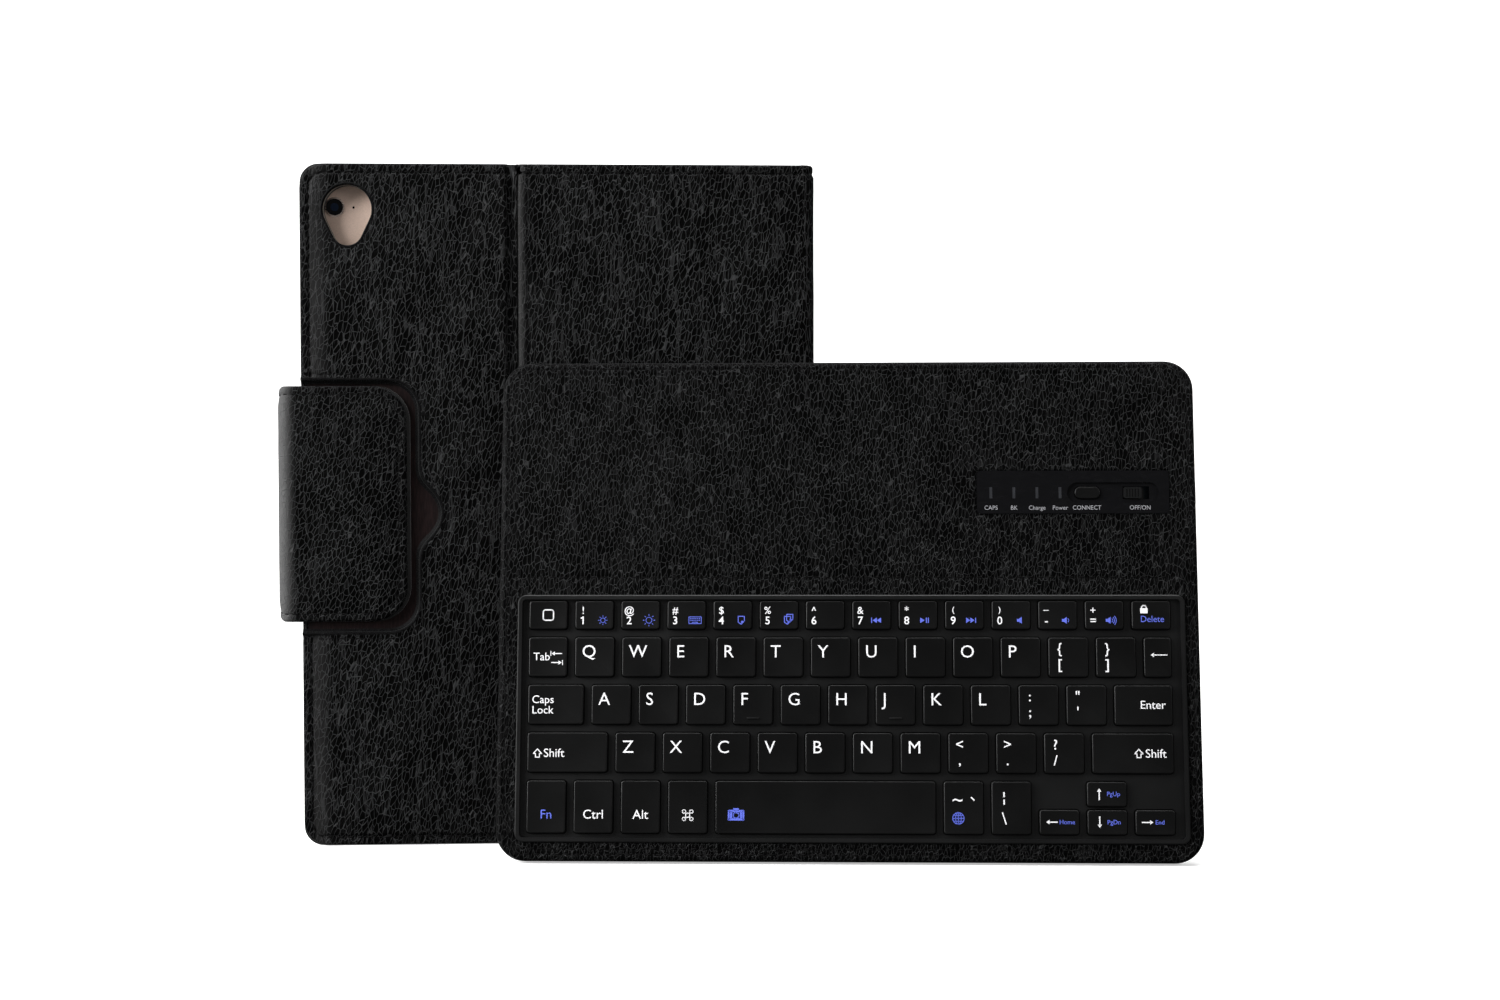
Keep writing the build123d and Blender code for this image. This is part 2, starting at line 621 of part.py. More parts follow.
def main():
    os.makedirs("parts", exist_ok=True)
    pieces = {
        **stand_panel(),
        **crease_strip(),
        **holder_panel(),
        **tablet_tray(),
        **spine(),
        **front_cover(),
        **clasp(),
        **keyboard(),
    }
    box = Compound(children=[copy.copy(piece) for piece in pieces.values()]).bounding_box()
    centre = Location((-box.center().X, -box.center().Y, -box.min.Z))
    for name, piece in pieces.items():
        export_step(piece.moved(centre), f"parts/{name}.step")
    print(f"{len(pieces)} pieces, moved by {-box.center().X:.4f}, {-box.center().Y:.4f}, {-box.min.Z:.4f}")


if __name__ == "__main__":
    main()
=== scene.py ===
import logging
import math
from dataclasses import dataclass, field
from enum import Enum
from typing import Callable, Sequence

import bmesh
import bpy
import numpy as np
from mathutils import Matrix, Vector, noise


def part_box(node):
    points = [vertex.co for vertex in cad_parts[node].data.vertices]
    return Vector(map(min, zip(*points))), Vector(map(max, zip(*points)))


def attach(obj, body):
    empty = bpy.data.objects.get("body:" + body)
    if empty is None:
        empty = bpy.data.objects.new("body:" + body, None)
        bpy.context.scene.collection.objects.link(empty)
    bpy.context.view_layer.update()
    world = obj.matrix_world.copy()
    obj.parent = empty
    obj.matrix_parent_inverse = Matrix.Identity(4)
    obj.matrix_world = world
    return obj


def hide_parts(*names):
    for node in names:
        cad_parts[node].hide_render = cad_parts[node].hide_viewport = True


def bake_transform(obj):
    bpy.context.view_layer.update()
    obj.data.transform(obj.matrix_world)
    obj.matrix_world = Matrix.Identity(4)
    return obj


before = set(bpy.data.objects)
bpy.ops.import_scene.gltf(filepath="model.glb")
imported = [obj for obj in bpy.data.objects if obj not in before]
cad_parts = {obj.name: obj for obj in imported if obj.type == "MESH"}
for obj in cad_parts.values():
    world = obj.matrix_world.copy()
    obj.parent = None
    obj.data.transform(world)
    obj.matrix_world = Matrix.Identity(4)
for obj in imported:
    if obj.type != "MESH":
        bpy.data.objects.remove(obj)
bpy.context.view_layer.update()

MM = 0.001
LOG = logging.getLogger("keyboard_case")
Outline = Callable[[np.ndarray, np.ndarray], np.ndarray]
Shape = bmesh.types.BMesh
Socket = bpy.types.NodeSocket
Pair = tuple[float, float]
Triple = tuple[float, float, float]
Quad = tuple[float, float, float, float]

LETTER_SHARE = 0.682  # height of a capital against the size of its font


# ---------------------------------------------------------------- small sums

def smooth(low: float, high: float, value: np.ndarray) -> np.ndarray:
    """Ease from 0 at low to 1 at high.

    Args:
        low: Where the ramp starts.
        high: Where the ramp ends.
        value: Numbers to ease.
    Returns:
        The eased share, between 0 and 1.
    """
    share = np.clip((value - low) / (high - low), 0.0, 1.0)
    return share * share * (3.0 - 2.0 * share)


def groove(value: np.ndarray, middle: float, width: float) -> np.ndarray:
    """Soft-sided groove, 1 at its middle.

    Args:
        value: Distances across the groove.
        middle: Where the groove runs.
        width: How far from the middle it has mostly faded.
    Returns:
        The share of the groove's full depth.
    """
    return np.exp(-(((value - middle) / width) ** 2))


def rolled(distance: np.ndarray, radius: float) -> np.ndarray:
    """Drop of a rounded edge.

    Args:
        distance: How far inside the edge each point lies.
        radius: Radius of the rounding.
    Returns:
        How far each point falls below the flat face.
    """
    reach = np.clip(1.0 - distance / radius, 0.0, 1.0)
    return radius * (1.0 - np.sqrt(np.clip(1.0 - reach * reach, 0.0, 1.0)))


def ruffle(x: np.ndarray, y: np.ndarray, across: float, along: float, seed: float) -> np.ndarray:
    """Smooth noise, stretched along one direction.

    Args:
        x: First coordinate, in millimetres.
        y: Second coordinate, in millimetres.
        across: Size of a wrinkle along x.
        along: Size of a wrinkle along y.
        seed: Offset that picks another pattern.
    Returns:
        Noise between about -1 and 1.
    """
    points = zip(x.tolist(), y.tolist())
    return np.array([noise.noise(Vector((a / across, b / along, seed))) for a, b in points])


def box_outline(x0: float, x1: float, y0: float, y1: float, radius: float) -> Outline:
    """Signed distance to a rounded rectangle.

    Args:
        x0: Left side.
        x1: Right side.
        y0: Bottom side.
        y1: Top side.
        radius: Corner radius.
    Returns:
        A function that is negative inside.
    """
    def distance(x: np.ndarray, y: np.ndarray) -> np.ndarray:
        """Distance from the rounded rectangle."""
        qx = np.abs(x - (x0 + x1) / 2) - (x1 - x0) / 2 + radius
        qy = np.abs(y - (y0 + y1) / 2) - (y1 - y0) / 2 + radius
        return np.minimum(np.maximum(qx, qy), 0) + np.hypot(np.maximum(qx, 0), np.maximum(qy, 0)) - radius
    return distance


def merged(first: Outline, second: Outline, fillet: float) -> Outline:
    """Union of two outlines with a fillet where they meet.

    Args:
        first: One outline.
        second: The other outline.
        fillet: Size of the blend.
    Returns:
        The joined outline.
    """
    def distance(x: np.ndarray, y: np.ndarray) -> np.ndarray:
        """Distance from the joined outline."""
        a, b = first(x, y), second(x, y)
        share = np.clip(0.5 + 0.5 * (b - a) / fillet, 0.0, 1.0)
        return b * (1 - share) + a * share - fillet * share * (1 - share)
    return distance


def egg_outline(x: float, top_y: float, top_r: float, tip_y: float, tip_r: float) -> Outline:
    """Signed distance to the hull of a large circle over a small one.

    Args:
        x: Middle line of both circles.
        top_y: Height of the large circle's centre.
        top_r: Its radius.
        tip_y: Height of the small circle's centre.
        tip_r: Its radius.
    Returns:
        A function that is negative inside.
    """
    run = top_y - tip_y
    lean = (tip_r - top_r) / run
    rise = math.sqrt(1 - lean * lean)

    def distance(px: np.ndarray, py: np.ndarray) -> np.ndarray:
        """Distance from the egg."""
        qx, qy = np.abs(px - x), py - tip_y
        along = -lean * qx + rise * qy
        side = rise * qx + lean * qy - tip_r
        low = np.hypot(qx, qy) - tip_r
        high = np.hypot(qx, qy - run) - top_r
        return np.where(along < 0, low, np.where(along > rise * run, high, side))
    return distance


def spaced(start: float, stop: float, step: float, fine: Sequence[Triple]) -> list[float]:
    """Grid lines that crowd together where the relief is fine.

    Args:
        start: First line.
        stop: Last line.
        step: Usual spacing.
        fine: Stretches (from, to, spacing) with a closer spacing.
    Returns:
        The positions of the lines, in order.
    """
    lines = [start]
    while lines[-1] < stop - 1e-6:
        here = lines[-1] + 1e-6
        gap = min([step] + [s for a, b, s in fine if a <= here < b])
        ahead = [a for a, _, s in fine if here < a < here + gap]
        lines.append(min([stop, lines[-1] + gap] + ahead))
    if len(lines) > 2 and lines[-1] - lines[-2] < 0.1:
        del lines[-2]
    return lines


# ---------------------------------------------------------------- where things are

@dataclass(frozen=True)
class CaseFrame:
    """Places of the folio and the keyboard in the row frame."""

    yaw: float = math.radians(-4.04)
    lean: float = math.radians(7.93)
    board_x: float = 73.5
    board_y: float = -33.2
    board_t: float = 6.4
    thickness: float = 21.5

    def plan(self) -> Matrix:
        """Millimetres from the folio's lower back corner at the clasp edge, into the row frame."""
        corner = Vector((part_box("cover_lining")[0][0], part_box("stand_skin")[0][1], 0.0))
        return Matrix.Translation(corner) @ Matrix.Scale(MM, 4)

    def back(self) -> Matrix:
        """Space of the back cover: x right, y up, z out of the back face."""
        return self.plan() @ Matrix(((1, 0, 0, 0), (0, 0, -1, 0), (0, 1, 0, 0), (0, 0, 0, 1)))

    def front(self) -> Matrix:
        """Space of the front cover: x from the spine side, negative, y up, z out of the front face."""
        turn = Matrix(((-1, 0, 0, 0), (0, 0, 1, self.thickness), (0, 1, 0, 0), (0, 0, 0, 1)))
        return self.plan() @ turn

    def board(self) -> Matrix:
        """Space of the keyboard: x right, y up the board, z out of its face."""
        right = Vector((math.cos(self.yaw), math.sin(self.yaw), 0))
        out = Vector((
            math.sin(self.yaw) * math.cos(self.lean),
            -math.cos(self.yaw) * math.cos(self.lean),
            math.sin(self.lean),
        ))
        up = out.cross(right)
        turn = Matrix((right, up, out)).transposed().to_4x4()
        foot = Vector((self.board_x, self.board_y, self.board_t * math.sin(self.lean)))
        return self.plan() @ Matrix.Translation(foot) @ turn

    def spot(self, x: float, y: float, z: float) -> Vector:
        """A point given in folio millimetres, in the row frame."""
        return self.plan() @ Vector((x, y, z))


CASE = CaseFrame()


# ---------------------------------------------------------------- finishes

class Weave:
    """Builds one node material, a node at a time."""

    def __init__(self, name: str) -> None:
        """Start an empty material with a Principled shader.

        Args:
            name: Name of the material.
        """
        self.material = bpy.data.materials.new(name)
        self.material.use_nodes = True
        self.tree = self.material.node_tree
        self.tree.nodes.clear()
        self.shader = self.tree.nodes.new("ShaderNodeBsdfPrincipled")
        output = self.tree.nodes.new("ShaderNodeOutputMaterial")
        self.tree.links.new(self.shader.outputs["BSDF"], output.inputs["Surface"])

    def node(self, kind: str, inputs: dict[str, object] | None = None, **facts: object) -> bpy.types.Node:
        """Add a node.

        Args:
            kind: Node type without its ShaderNode prefix.
            inputs: Values or output sockets for its inputs, by name or number.
            **facts: Attributes of the node.
        Returns:
            The new node.
        """
        made = self.tree.nodes.new("ShaderNode" + kind)
        for key, value in facts.items():
            setattr(made, key, value)
        for key, value in (inputs or {}).items():
            self.feed(made.inputs[key], value)
        return made

    def feed(self, socket: Socket, value: object) -> None:
        """Link an output to a socket, or set its value."""
        if isinstance(value, Socket):
            self.tree.links.new(value, socket)
        else:
            socket.default_value = value

    def place(self, scale: Triple = (1, 1, 1), turn: Triple = (0, 0, 0)) -> Socket:
        """Object coordinates, turned and scaled.

        Args:
            scale: Scale along each axis.
            turn: Rotation in radians.
        Returns:
            The vector output.
        """
        here = self.node("TexCoord").outputs["Object"]
        return self.node("Mapping", {"Vector": here, "Scale": scale, "Rotation": turn}).outputs["Vector"]

    def cloud(self, vector: Socket, scale: float, detail: float = 3.0, distort: float = 0.0) -> Socket:
        """Noise between 0 and 1 at a scale."""
        facts = {"Vector": vector, "Scale": scale, "Detail": detail, "Distortion": distort}
        return self.node("TexNoise", facts).outputs["Fac"]

    def cells(self, vector: Socket, scale: float) -> Socket:
        """Distance to the nearest edge of a net of cells."""
        made = self.node("TexVoronoi", {"Vector": vector, "Scale": scale}, feature="DISTANCE_TO_EDGE")
        return made.outputs["Distance"]

    def sums(self, how: str, first: object, second: object = 0.0) -> Socket:
        """One Math node."""
        made = self.node("Math", operation=how)
        self.feed(made.inputs[0], first)
        self.feed(made.inputs[1], second)
        return made.outputs[0]

    def ramp(self, fac: Socket, low: float, high: float, bottom: float = 0.0, top: float = 1.0) -> Socket:
        """Map a range onto another, smoothly and clamped."""
        facts = {0: fac, 1: low, 2: high, 3: bottom, 4: top}
        return self.node("MapRange", facts, interpolation_type="SMOOTHSTEP").outputs[0]

    def blend(self, fac: object, first: object, second: object) -> Socket:
        """Mix two colours."""
        made = self.node("Mix", data_type="RGBA")
        self.feed(made.inputs[0], fac)
        self.feed(made.inputs[6], first)
        self.feed(made.inputs[7], second)
        return made.outputs[2]

    def bump(self, height: Socket, distance: float, strength: float = 1.0) -> Socket:
        """Bump from a height.

        Args:
            height: The height output.
            distance: Height of the relief in metres.
            strength: Share of the relief that shows.
        Returns:
            The normal output.
        """
        made = self.node("Bump", {"Height": height, "Distance": distance, "Strength": strength})
        return made.outputs["Normal"]

    def set(self, **facts: object) -> "Weave":
        """Set or link inputs of the shader, with underscores for spaces."""
        for key, value in facts.items():
            self.feed(self.shader.inputs[key.replace("_", " ")], value)
        return self


def grey(level: float, warm: float = 0.0) -> Quad:
    """A near-grey colour, warmed or cooled a little."""
    return (level * (1 + warm), level, level * (1 - warm), 1.0)


def scaled(tint: Quad, share: float) -> Quad:
    """A darker or lighter copy of a colour."""
    return tuple(c * share for c in tint[:3]) + (1.0,)


@dataclass(frozen=True)
class Leather:
    """Pebbled synthetic leather: a net of fine ridges and long wrinkles over dark cells, with a painted
    highlight that makes the ridges and wrinkles pale.
    """

    name: str
    cell: float = 1.4
    stretch: Triple = (1.0, 1.0, 0.42)
    lean: float = -0.3
    wrinkle: float = 0.5
    valley: float = 0.0005
    # Grey of the ridges: a painted highlight that makes the net pale against the dark cells.
    ridge: float = 0.042
    rough: float = 0.42
    gloss: float = 0.03
    relief: float = 0.3
    sheen: float = 0.02
    # The next two fields paint highlights: bands of paler colour, and their grey, where edges face the light
    # from the left.
    highlight_bands: tuple[Quad, ...] = ()
    pale: float = 0.05

    def with_painted_highlights(self, w: Weave, tone: Socket) -> Socket:
        """Painted highlight: paler bands where rounded edges and ridges face the light from the left.

        Args:
            w: The node tree in hand.
            tone: Colour without the bands.
        Returns:
            Colour with them; each band has a start, a peak, an end in folio millimetres, and a strength.
        """
        # Each band blends the colour towards a pale grey, as a painted highlight.
        for start, peak, end, amount in self.highlight_bands:
            x = w.node("SeparateXYZ", {"Vector": w.place((1, 1, 1))}).outputs["X"]
            a, b, c = (CASE.spot(v, 0, 0).x for v in (start, peak, end))
            share = w.sums("MULTIPLY", w.ramp(x, a, b, 0.0, amount), w.ramp(x, b, c, 1.0, 0.0))
            tone = w.blend(share, tone, grey(self.pale))
        return tone

    def build(self) -> bpy.types.Material:
        """Make the material."""
        w = Weave(self.name)
        scale = 1.0 / (self.cell * MM)
        turned = w.place((1, 1, 1), (0, self.lean, 0))
        base = w.node("Mapping", {"Vector": turned, "Scale": self.stretch}).outputs["Vector"]
        wander = w.node("TexNoise", {"Vector": base, "Scale": scale * 0.5, "Detail": 1.5})
        shift = w.node("VectorMath", {0: wander.outputs["Color"], 1: (0.5, 0.5, 0.5)}, operation="SUBTRACT")
        bent = w.node("VectorMath", {0: shift.outputs[0], "Scale": self.cell * MM * 0.7}, operation="SCALE")
        moved = w.node("VectorMath", {0: base, 1: bent.outputs[0]}, operation="ADD")
        ridge, small = (
            w.ramp(w.cells(moved.outputs[0], scale * share), 0.0, width, 1.0, 0.0)
            for share, width in ((1.0, 0.07), (1.8, 0.1))
        )
        drawn = w.sums("ABSOLUTE", w.sums("SUBTRACT", w.cloud(w.place((1, 1, 0.14)), 300.0, 2.0, 0.3), 0.5))
        line = w.ramp(drawn, 0.0, 0.022, 1.0, 0.0)
        patch = w.cloud(base, scale * 0.16, 3.0)
        some = w.ramp(patch, 0.4, 0.62)
        height = w.sums("ADD", ridge, w.sums("MULTIPLY", small, w.sums("MULTIPLY", some, 0.2)))
        height = w.sums("MAXIMUM", height, w.sums("MULTIPLY", line, self.wrinkle))
        speck = w.cloud(base, scale * 4.0, 2.0)
        height = w.sums("ADD", height, w.sums("MULTIPLY", speck, 0.2))
        # Painted highlight: ridges, wrinkle lines and some small cells get a paler colour that stands in for
        # light catching the raised grain.
        painted_grain_highlight = w.sums("MULTIPLY", ridge, w.ramp(patch, 0.3, 0.7, 0.75, 1.0))
        painted_grain_highlight = w.sums("MAXIMUM", painted_grain_highlight, w.sums("MULTIPLY", line, self.wrinkle))
        painted_grain_highlight = w.sums("MAXIMUM", painted_grain_highlight, w.sums("MULTIPLY", small, w.sums("MULTIPLY", some, 0.08)))
        tint = w.blend(painted_grain_highlight, grey(self.valley, -0.04), grey(self.ridge, -0.02))
        broad = w.cloud(turned, 28.0, 2.0)
        tone = w.blend(w.ramp(broad, 0.3, 0.7, 0.0, 0.1), tint, grey(self.valley))
        rough = w.ramp(speck, 0.2, 0.8, self.rough - 0.06, self.rough + 0.12)
        w.set(Base_Color=self.with_painted_highlights(w, tone), Roughness=rough, Normal=w.bump(height, self.relief * MM, 0.9))
        w.set(Specular_IOR_Level=self.gloss, Sheen_Weight=self.sheen, Sheen_Roughness=0.35)
        return w.material


@dataclass(frozen=True)
class SmoothLeather:
    """Smooth dull leather with faint stretch marks."""

    name: str
    tint: Quad = (0.0055, 0.0026, 0.0026, 1.0)

    def build(self) -> bpy.types.Material:
        """Make the material."""
        w = Weave(self.name)
        turn = (0, 0.7, 0)
        marks = w.cloud(w.place((3.5, 1, 0.6), turn), 420.0, 4.0)
        pores = w.cloud(w.place((1, 1, 1), turn), 2600.0, 2.0)
        tone = w.blend(w.ramp(marks, 0.35, 0.7), self.tint, scaled(self.tint, 2.2))
        height = w.sums("ADD", marks, w.sums("MULTIPLY", pores, 0.3))
        rough = w.ramp(pores, 0.3, 0.7, 0.5, 0.66)
        w.set(Base_Color=tone, Roughness=rough, Normal=w.bump(height, 0.09 * MM, 0.8))
        w.set(Specular_IOR_Level=0.12)
        return w.material


@dataclass(frozen=True)
class Moulded:
    """Moulded plastic with a fine spark texture."""

    name: str
    level: float = 0.01
    rough: float = 0.5
    grain: float = 0.12
    relief: float = 0.012
    warm: float = -0.03
    gloss: float = 0.25

    def build(self) -> bpy.types.Material:
        """Make the material."""
        w = Weave(self.name)
        base = w.place()
        spark = w.cloud(base, 1.0 / (self.grain * MM), 2.0)
        drift = w.cloud(base, 35.0, 3.0)
        dark, pale = grey(self.level * 0.9, self.warm), grey(self.level * 1.15, self.warm)
        tone = w.blend(w.ramp(drift, 0.3, 0.7), dark, pale)
        rough = w.ramp(drift, 0.25, 0.75, self.rough - 0.05, self.rough + 0.06)
        w.set(Base_Color=tone, Roughness=rough, Normal=w.bump(spark, self.relief * MM, 0.7))
        w.set(Specular_IOR_Level=self.gloss)
        return w.material


@dataclass(frozen=True)
class Gloss:
    """Glossy plastic with faint handling marks in its polish."""

    name: str
    tint: Quad = (0.0035, 0.0035, 0.004, 1.0)
    rough: float = 0.16
    gloss: float = 0.16

    def build(self) -> bpy.types.Material:
        """Make the material."""
        w = Weave(self.name)
        smear = w.cloud(w.place((1, 1, 3)), 240.0, 4.0, 0.6)
        tone = w.blend(w.ramp(smear, 0.3, 0.8), self.tint, scaled(self.tint, 1.25))
        w.set(Base_Color=tone, Roughness=w.ramp(smear, 0.35, 0.75, self.rough - 0.04, self.rough + 0.08))
        w.set(Specular_IOR_Level=self.gloss)
        return w.material


@dataclass(frozen=True)
class Print:
    """Printed ink, very slightly uneven."""

    name: str
    tint: Quad = (0.92, 0.92, 0.94, 1.0)

    def build(self) -> bpy.types.Material:
        """Make the material."""
        w = Weave(self.name)
        mottle = w.cloud(w.place(), 3000.0, 2.0)
        tone = w.blend(w.ramp(mottle, 0.3, 0.8), self.tint, scaled(self.tint, 0.86))
        w.set(Base_Color=tone, Roughness=w.ramp(mottle, 0.2, 0.8, 0.45, 0.6))
        return w.material


@dataclass(frozen=True)
class Metal:
    """Rolled or plated metal with fine lines."""

    name: str
    tint: Quad = (0.55, 0.55, 0.57, 1.0)
    rough: float = 0.3
    lines: Triple = (0.05, 1.0, 1.0)

    def build(self) -> bpy.types.Material:
        """Make the material."""
        w = Weave(self.name)
        brushed = w.cloud(w.place(self.lines), 5200.0, 2.0)
        tone = w.blend(w.ramp(brushed, 0.3, 0.7), self.tint, scaled(self.tint, 0.8))
        w.set(Base_Color=tone, Roughness=w.ramp(brushed, 0.3, 0.7, self.rough - 0.07, self.rough + 0.1))
        w.set(Normal=w.bump(brushed, 0.01 * MM, 0.5))
        w.set(Metallic=1.0)
        return w.material


@dataclass(frozen=True)
class Cloth:
    """Brushed lining cloth with a short nap."""

    name: str
    level: float = 0.009
    thread: float = 0.35
    nap: float = 0.25

    def build(self) -> bpy.types.Material:
        """Make the material."""
        w = Weave(self.name)
        base = w.place()
        fibre = w.cloud(w.place((1, 1, 0.35)), 1.0 / (self.thread * MM), 4.0)
        lay = w.cloud(base, 45.0, 3.0, 0.4)
        shade = w.blend(w.ramp(lay, 0.35, 0.65), grey(self.level), grey(self.level * 1.9))
        tone = w.blend(w.ramp(fibre, 0.3, 0.75), shade, grey(self.level * 2.4))
        rough = w.ramp(fibre, 0.2, 0.8, 0.8, 0.95)
        w.set(Base_Color=tone, Roughness=rough, Normal=w.bump(fibre, 0.06 * MM, 0.8))
        w.set(Specular_IOR_Level=0.1, Sheen_Weight=self.nap, Sheen_Roughness=0.5)
        return w.material


@dataclass(frozen=True)
class Backdrop:
    """Plain pale floor that looks white but throws little light back on the object."""

    name: str
    seen: float = 0.8
    thrown: float = 0.1
    glow: float = 0.45

    def build(self) -> bpy.types.Material:
        """Make the material."""
        w = Weave(self.name)
        seen = w.node("LightPath").outputs["Is Camera Ray"]
        mottle = w.cloud(w.place(), 900.0, 2.0)
        tone = w.blend(w.ramp(mottle, 0.3, 0.7), grey(self.seen), grey(self.seen * 0.97))
        rough = w.ramp(mottle, 0.2, 0.8, 0.75, 0.85)
        w.set(Base_Color=w.blend(seen, grey(self.thrown), tone), Roughness=rough)
        glow = w.sums("MULTIPLY", seen, self.glow)
        w.set(Specular_IOR_Level=0.0, Emission_Color=(1, 1, 1, 1), Emission_Strength=glow)
        return w.material


@dataclass(frozen=True)
class Pulpboard:
    """Grey fibreboard of the stiffeners."""

    name: str

    def build(self) -> bpy.types.Material:
        """Make the material."""
        w = Weave(self.name)
        fibre = w.cloud(w.place((1, 1, 2.5)), 1600.0, 5.0, 0.8)
        tone = w.blend(w.ramp(fibre, 0.3, 0.7), (0.16, 0.14, 0.115, 1), (0.3, 0.27, 0.23, 1))
        rough = w.ramp(fibre, 0.2, 0.8, 0.8, 0.95)
        w.set(Base_Color=tone, Roughness=rough, Normal=w.bump(fibre, 0.05 * MM, 0.7))
        return w.material


class Finishes(Enum):
    """Every finish on the case."""

    # The folio's bands at the pad edge and the crease ridge, and the clasp's band on its left fold, are
    # painted highlights.
    FOLIO = Leather("folio_leather", highlight_bands=((3.6, 5.0, 12.0, 0.3), (78.8, 80.6, 84.0, 0.35)))
    FRONT = Leather("cover_leather_finish")
    SPINE = Leather("spine_leather_finish", stretch=(1.0, 1.0, 0.4), lean=0.05, wrinkle=0.9)
    CLASP = Leather(
        "clasp_leather_finish", stretch=(1.0, 1.0, 0.5), lean=-0.4, wrinkle=0.3, ridge=0.045,
        highlight_bands=((-12.0, -8.6, -1.0, 1.0),), pale=0.085,
    )
    BOARD = Leather(
        "board_leather_finish", cell=1.3, stretch=(1.0, 1.0, 0.45), lean=-0.15, wrinkle=0.3, ridge=0.034,
    )
    SEAT = SmoothLeather("seat_leather_finish")
    WELT = Leather(
        "welt_leather_finish", cell=0.7, stretch=(1.0, 1.0, 1.0), wrinkle=0.2,
        valley=0.002, ridge=0.014, relief=0.04,
    )
    THREAD = Cloth("sewing_thread_finish", level=0.0012, thread=0.15, nap=0.0)
    LINING = Cloth("lining_cloth_finish")
    STIFFENER = Pulpboard("stiffener_finish")
    TRAY = Moulded("tray_finish", level=0.012, rough=0.55)
    KEY = Moulded("key_finish", level=0.0014, rough=0.4, grain=0.16, gloss=0.22)
    FRAME = Moulded("key_frame_finish", level=0.0032, rough=0.4, gloss=0.3)
    HOUSING = Moulded("housing_finish", level=0.011, rough=0.5)
    CONTROL = Gloss("control_panel_finish")
    SLIDER = Moulded("slider_finish", level=0.006, rough=0.3)
    GUIDE = Gloss("light_guide_finish", tint=(0.022, 0.023, 0.026, 1.0), rough=0.35)
    WHITE_INK = Print("white_ink")
    BLUE_INK = Print("blue_ink", tint=(0.115, 0.16, 0.74, 1.0))
    GREY_INK = Print("grey_ink", tint=(0.32, 0.32, 0.34, 1.0))
    STEEL = Metal("steel_finish")
    NICKEL = Metal("nickel_finish", tint=(0.66, 0.66, 0.67, 1.0), rough=0.2)
    SILICONE = Moulded("silicone_finish", level=0.07, rough=0.6)
    CIRCUIT = Moulded("circuit_finish", level=0.03, rough=0.35, warm=-0.4)
    FOIL = Metal("battery_foil_finish", tint=(0.6, 0.6, 0.6, 1.0), rough=0.38)
    GLUE = Moulded("glue_finish", level=0.4, rough=0.7)
    BLANK = Print("display_blank_finish", tint=(0.6, 0.45, 0.37, 1.0))
    BLANK_RIM = Metal("display_blank_rim_finish", tint=(0.75, 0.62, 0.55, 1.0), rough=0.25)
    BLANK_LENS = Gloss("display_blank_lens_finish", rough=0.08)
    BLANK_PUPIL = Gloss("display_blank_pupil_finish", tint=(0.006, 0.012, 0.028, 1.0), rough=0.06)
    FLOOR = Backdrop("floor_finish")

    def material(self) -> bpy.types.Material:
        """The material of this finish, made on its first use."""
        made = bpy.data.materials.get(self.value.name)
        return made or self.value.build()


# ---------------------------------------------------------------- making pieces

def piece(bm: Shape, name: str, space: Matrix, finish: Finishes, crease: float = 38.0) -> bpy.types.Object:
    """Turn a bmesh into a finished object with its place in its mesh.

    Args:
        bm: The shape, in the millimetres of its space. It is freed.
        name: Name of the object.
        space: Matrix from that space to the row frame.
        finish: Its finish.
        crease: Angle in degrees past which an edge stays sharp.
    Returns:
        The object.
    """
    bmesh.ops.transform(bm, matrix=space, verts=bm.verts)
    if all(e.is_manifold for e in bm.edges) and bm.calc_volume(signed=True) < 0:
        bmesh.ops.reverse_faces(bm, faces=bm.faces)
    mesh = bpy.data.meshes.new(name)
    bm.to_mesh(mesh)
    bm.free()
    mesh.shade_smooth()
    mesh.set_sharp_from_angle(angle=math.radians(crease))
    made = bpy.data.objects.new(name, mesh)
    bpy.context.scene.collection.objects.link(made)
    made.data.materials.append(finish.material())
    LOG.info("%s: %d faces", name, len(mesh.polygons))
    return made


def mount(made: bpy.types.Object, body: str, slot: str, *nodes: str) -> bpy.types.Object:
    """Ride a piece on a body and hide the CAD nodes it replaces.

    Args:
        made: The piece.
        body: CAD body it moves with.
        slot: Not used.
        *nodes: CAD nodes it replaces.
    Returns:
        The piece.
    """
    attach(made, body)
    if nodes:
        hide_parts(*nodes)
    return made


def cut(made: bpy.types.Object, *cutters: bpy.types.Object) -> None:
    """Cut closed shapes out of a piece.

    Args:
        made: The piece to cut.
        *cutters: Shapes to take away. They are deleted.
    """
    for cutter in cutters:
        step = made.modifiers.new("cut", "BOOLEAN")
        step.operation = "DIFFERENCE"
        step.solver = "MANIFOLD"
        step.object = cutter
    graph = bpy.context.evaluated_depsgraph_get()
    mesh = bpy.data.meshes.new_from_object(made.evaluated_get(graph))
    made.modifiers.clear()
    old = made.data
    made.data = mesh
    bpy.data.meshes.remove(old)
    mesh.name = made.name
    for cutter in cutters:
        bpy.data.objects.remove(cutter)


def lattice(xs: Sequence[float], ys: Sequence[float]) -> Shape:
    """Flat grid with chosen line positions, facing +Z.

    Args:
        xs: Positions of the lines across.
        ys: Positions of the lines up.
    Returns:
        The grid.
    """
    bm = bmesh.new()
    across, up = len(xs) - 1, len(ys) - 1
    bmesh.ops.create_grid(bm, x_segments=across, y_segments=up, size=1.0)
    for vert in bm.verts:
        column = round((vert.co.x + 1) / 2 * across)
        row = round((vert.co.y + 1) / 2 * up)
        vert.co = Vector((xs[column], ys[row], 0.0))
    return bm


def vertices(geometry: Sequence[object]) -> list[bmesh.types.BMVert]:
    """The vertices among what an operator made."""
    return [g for g in geometry if isinstance(g, bmesh.types.BMVert)]


def open_edges(bm: Shape) -> list[bmesh.types.BMEdge]:
    """Edges with a face on one side only."""
    return [e for e in bm.edges if e.is_boundary]


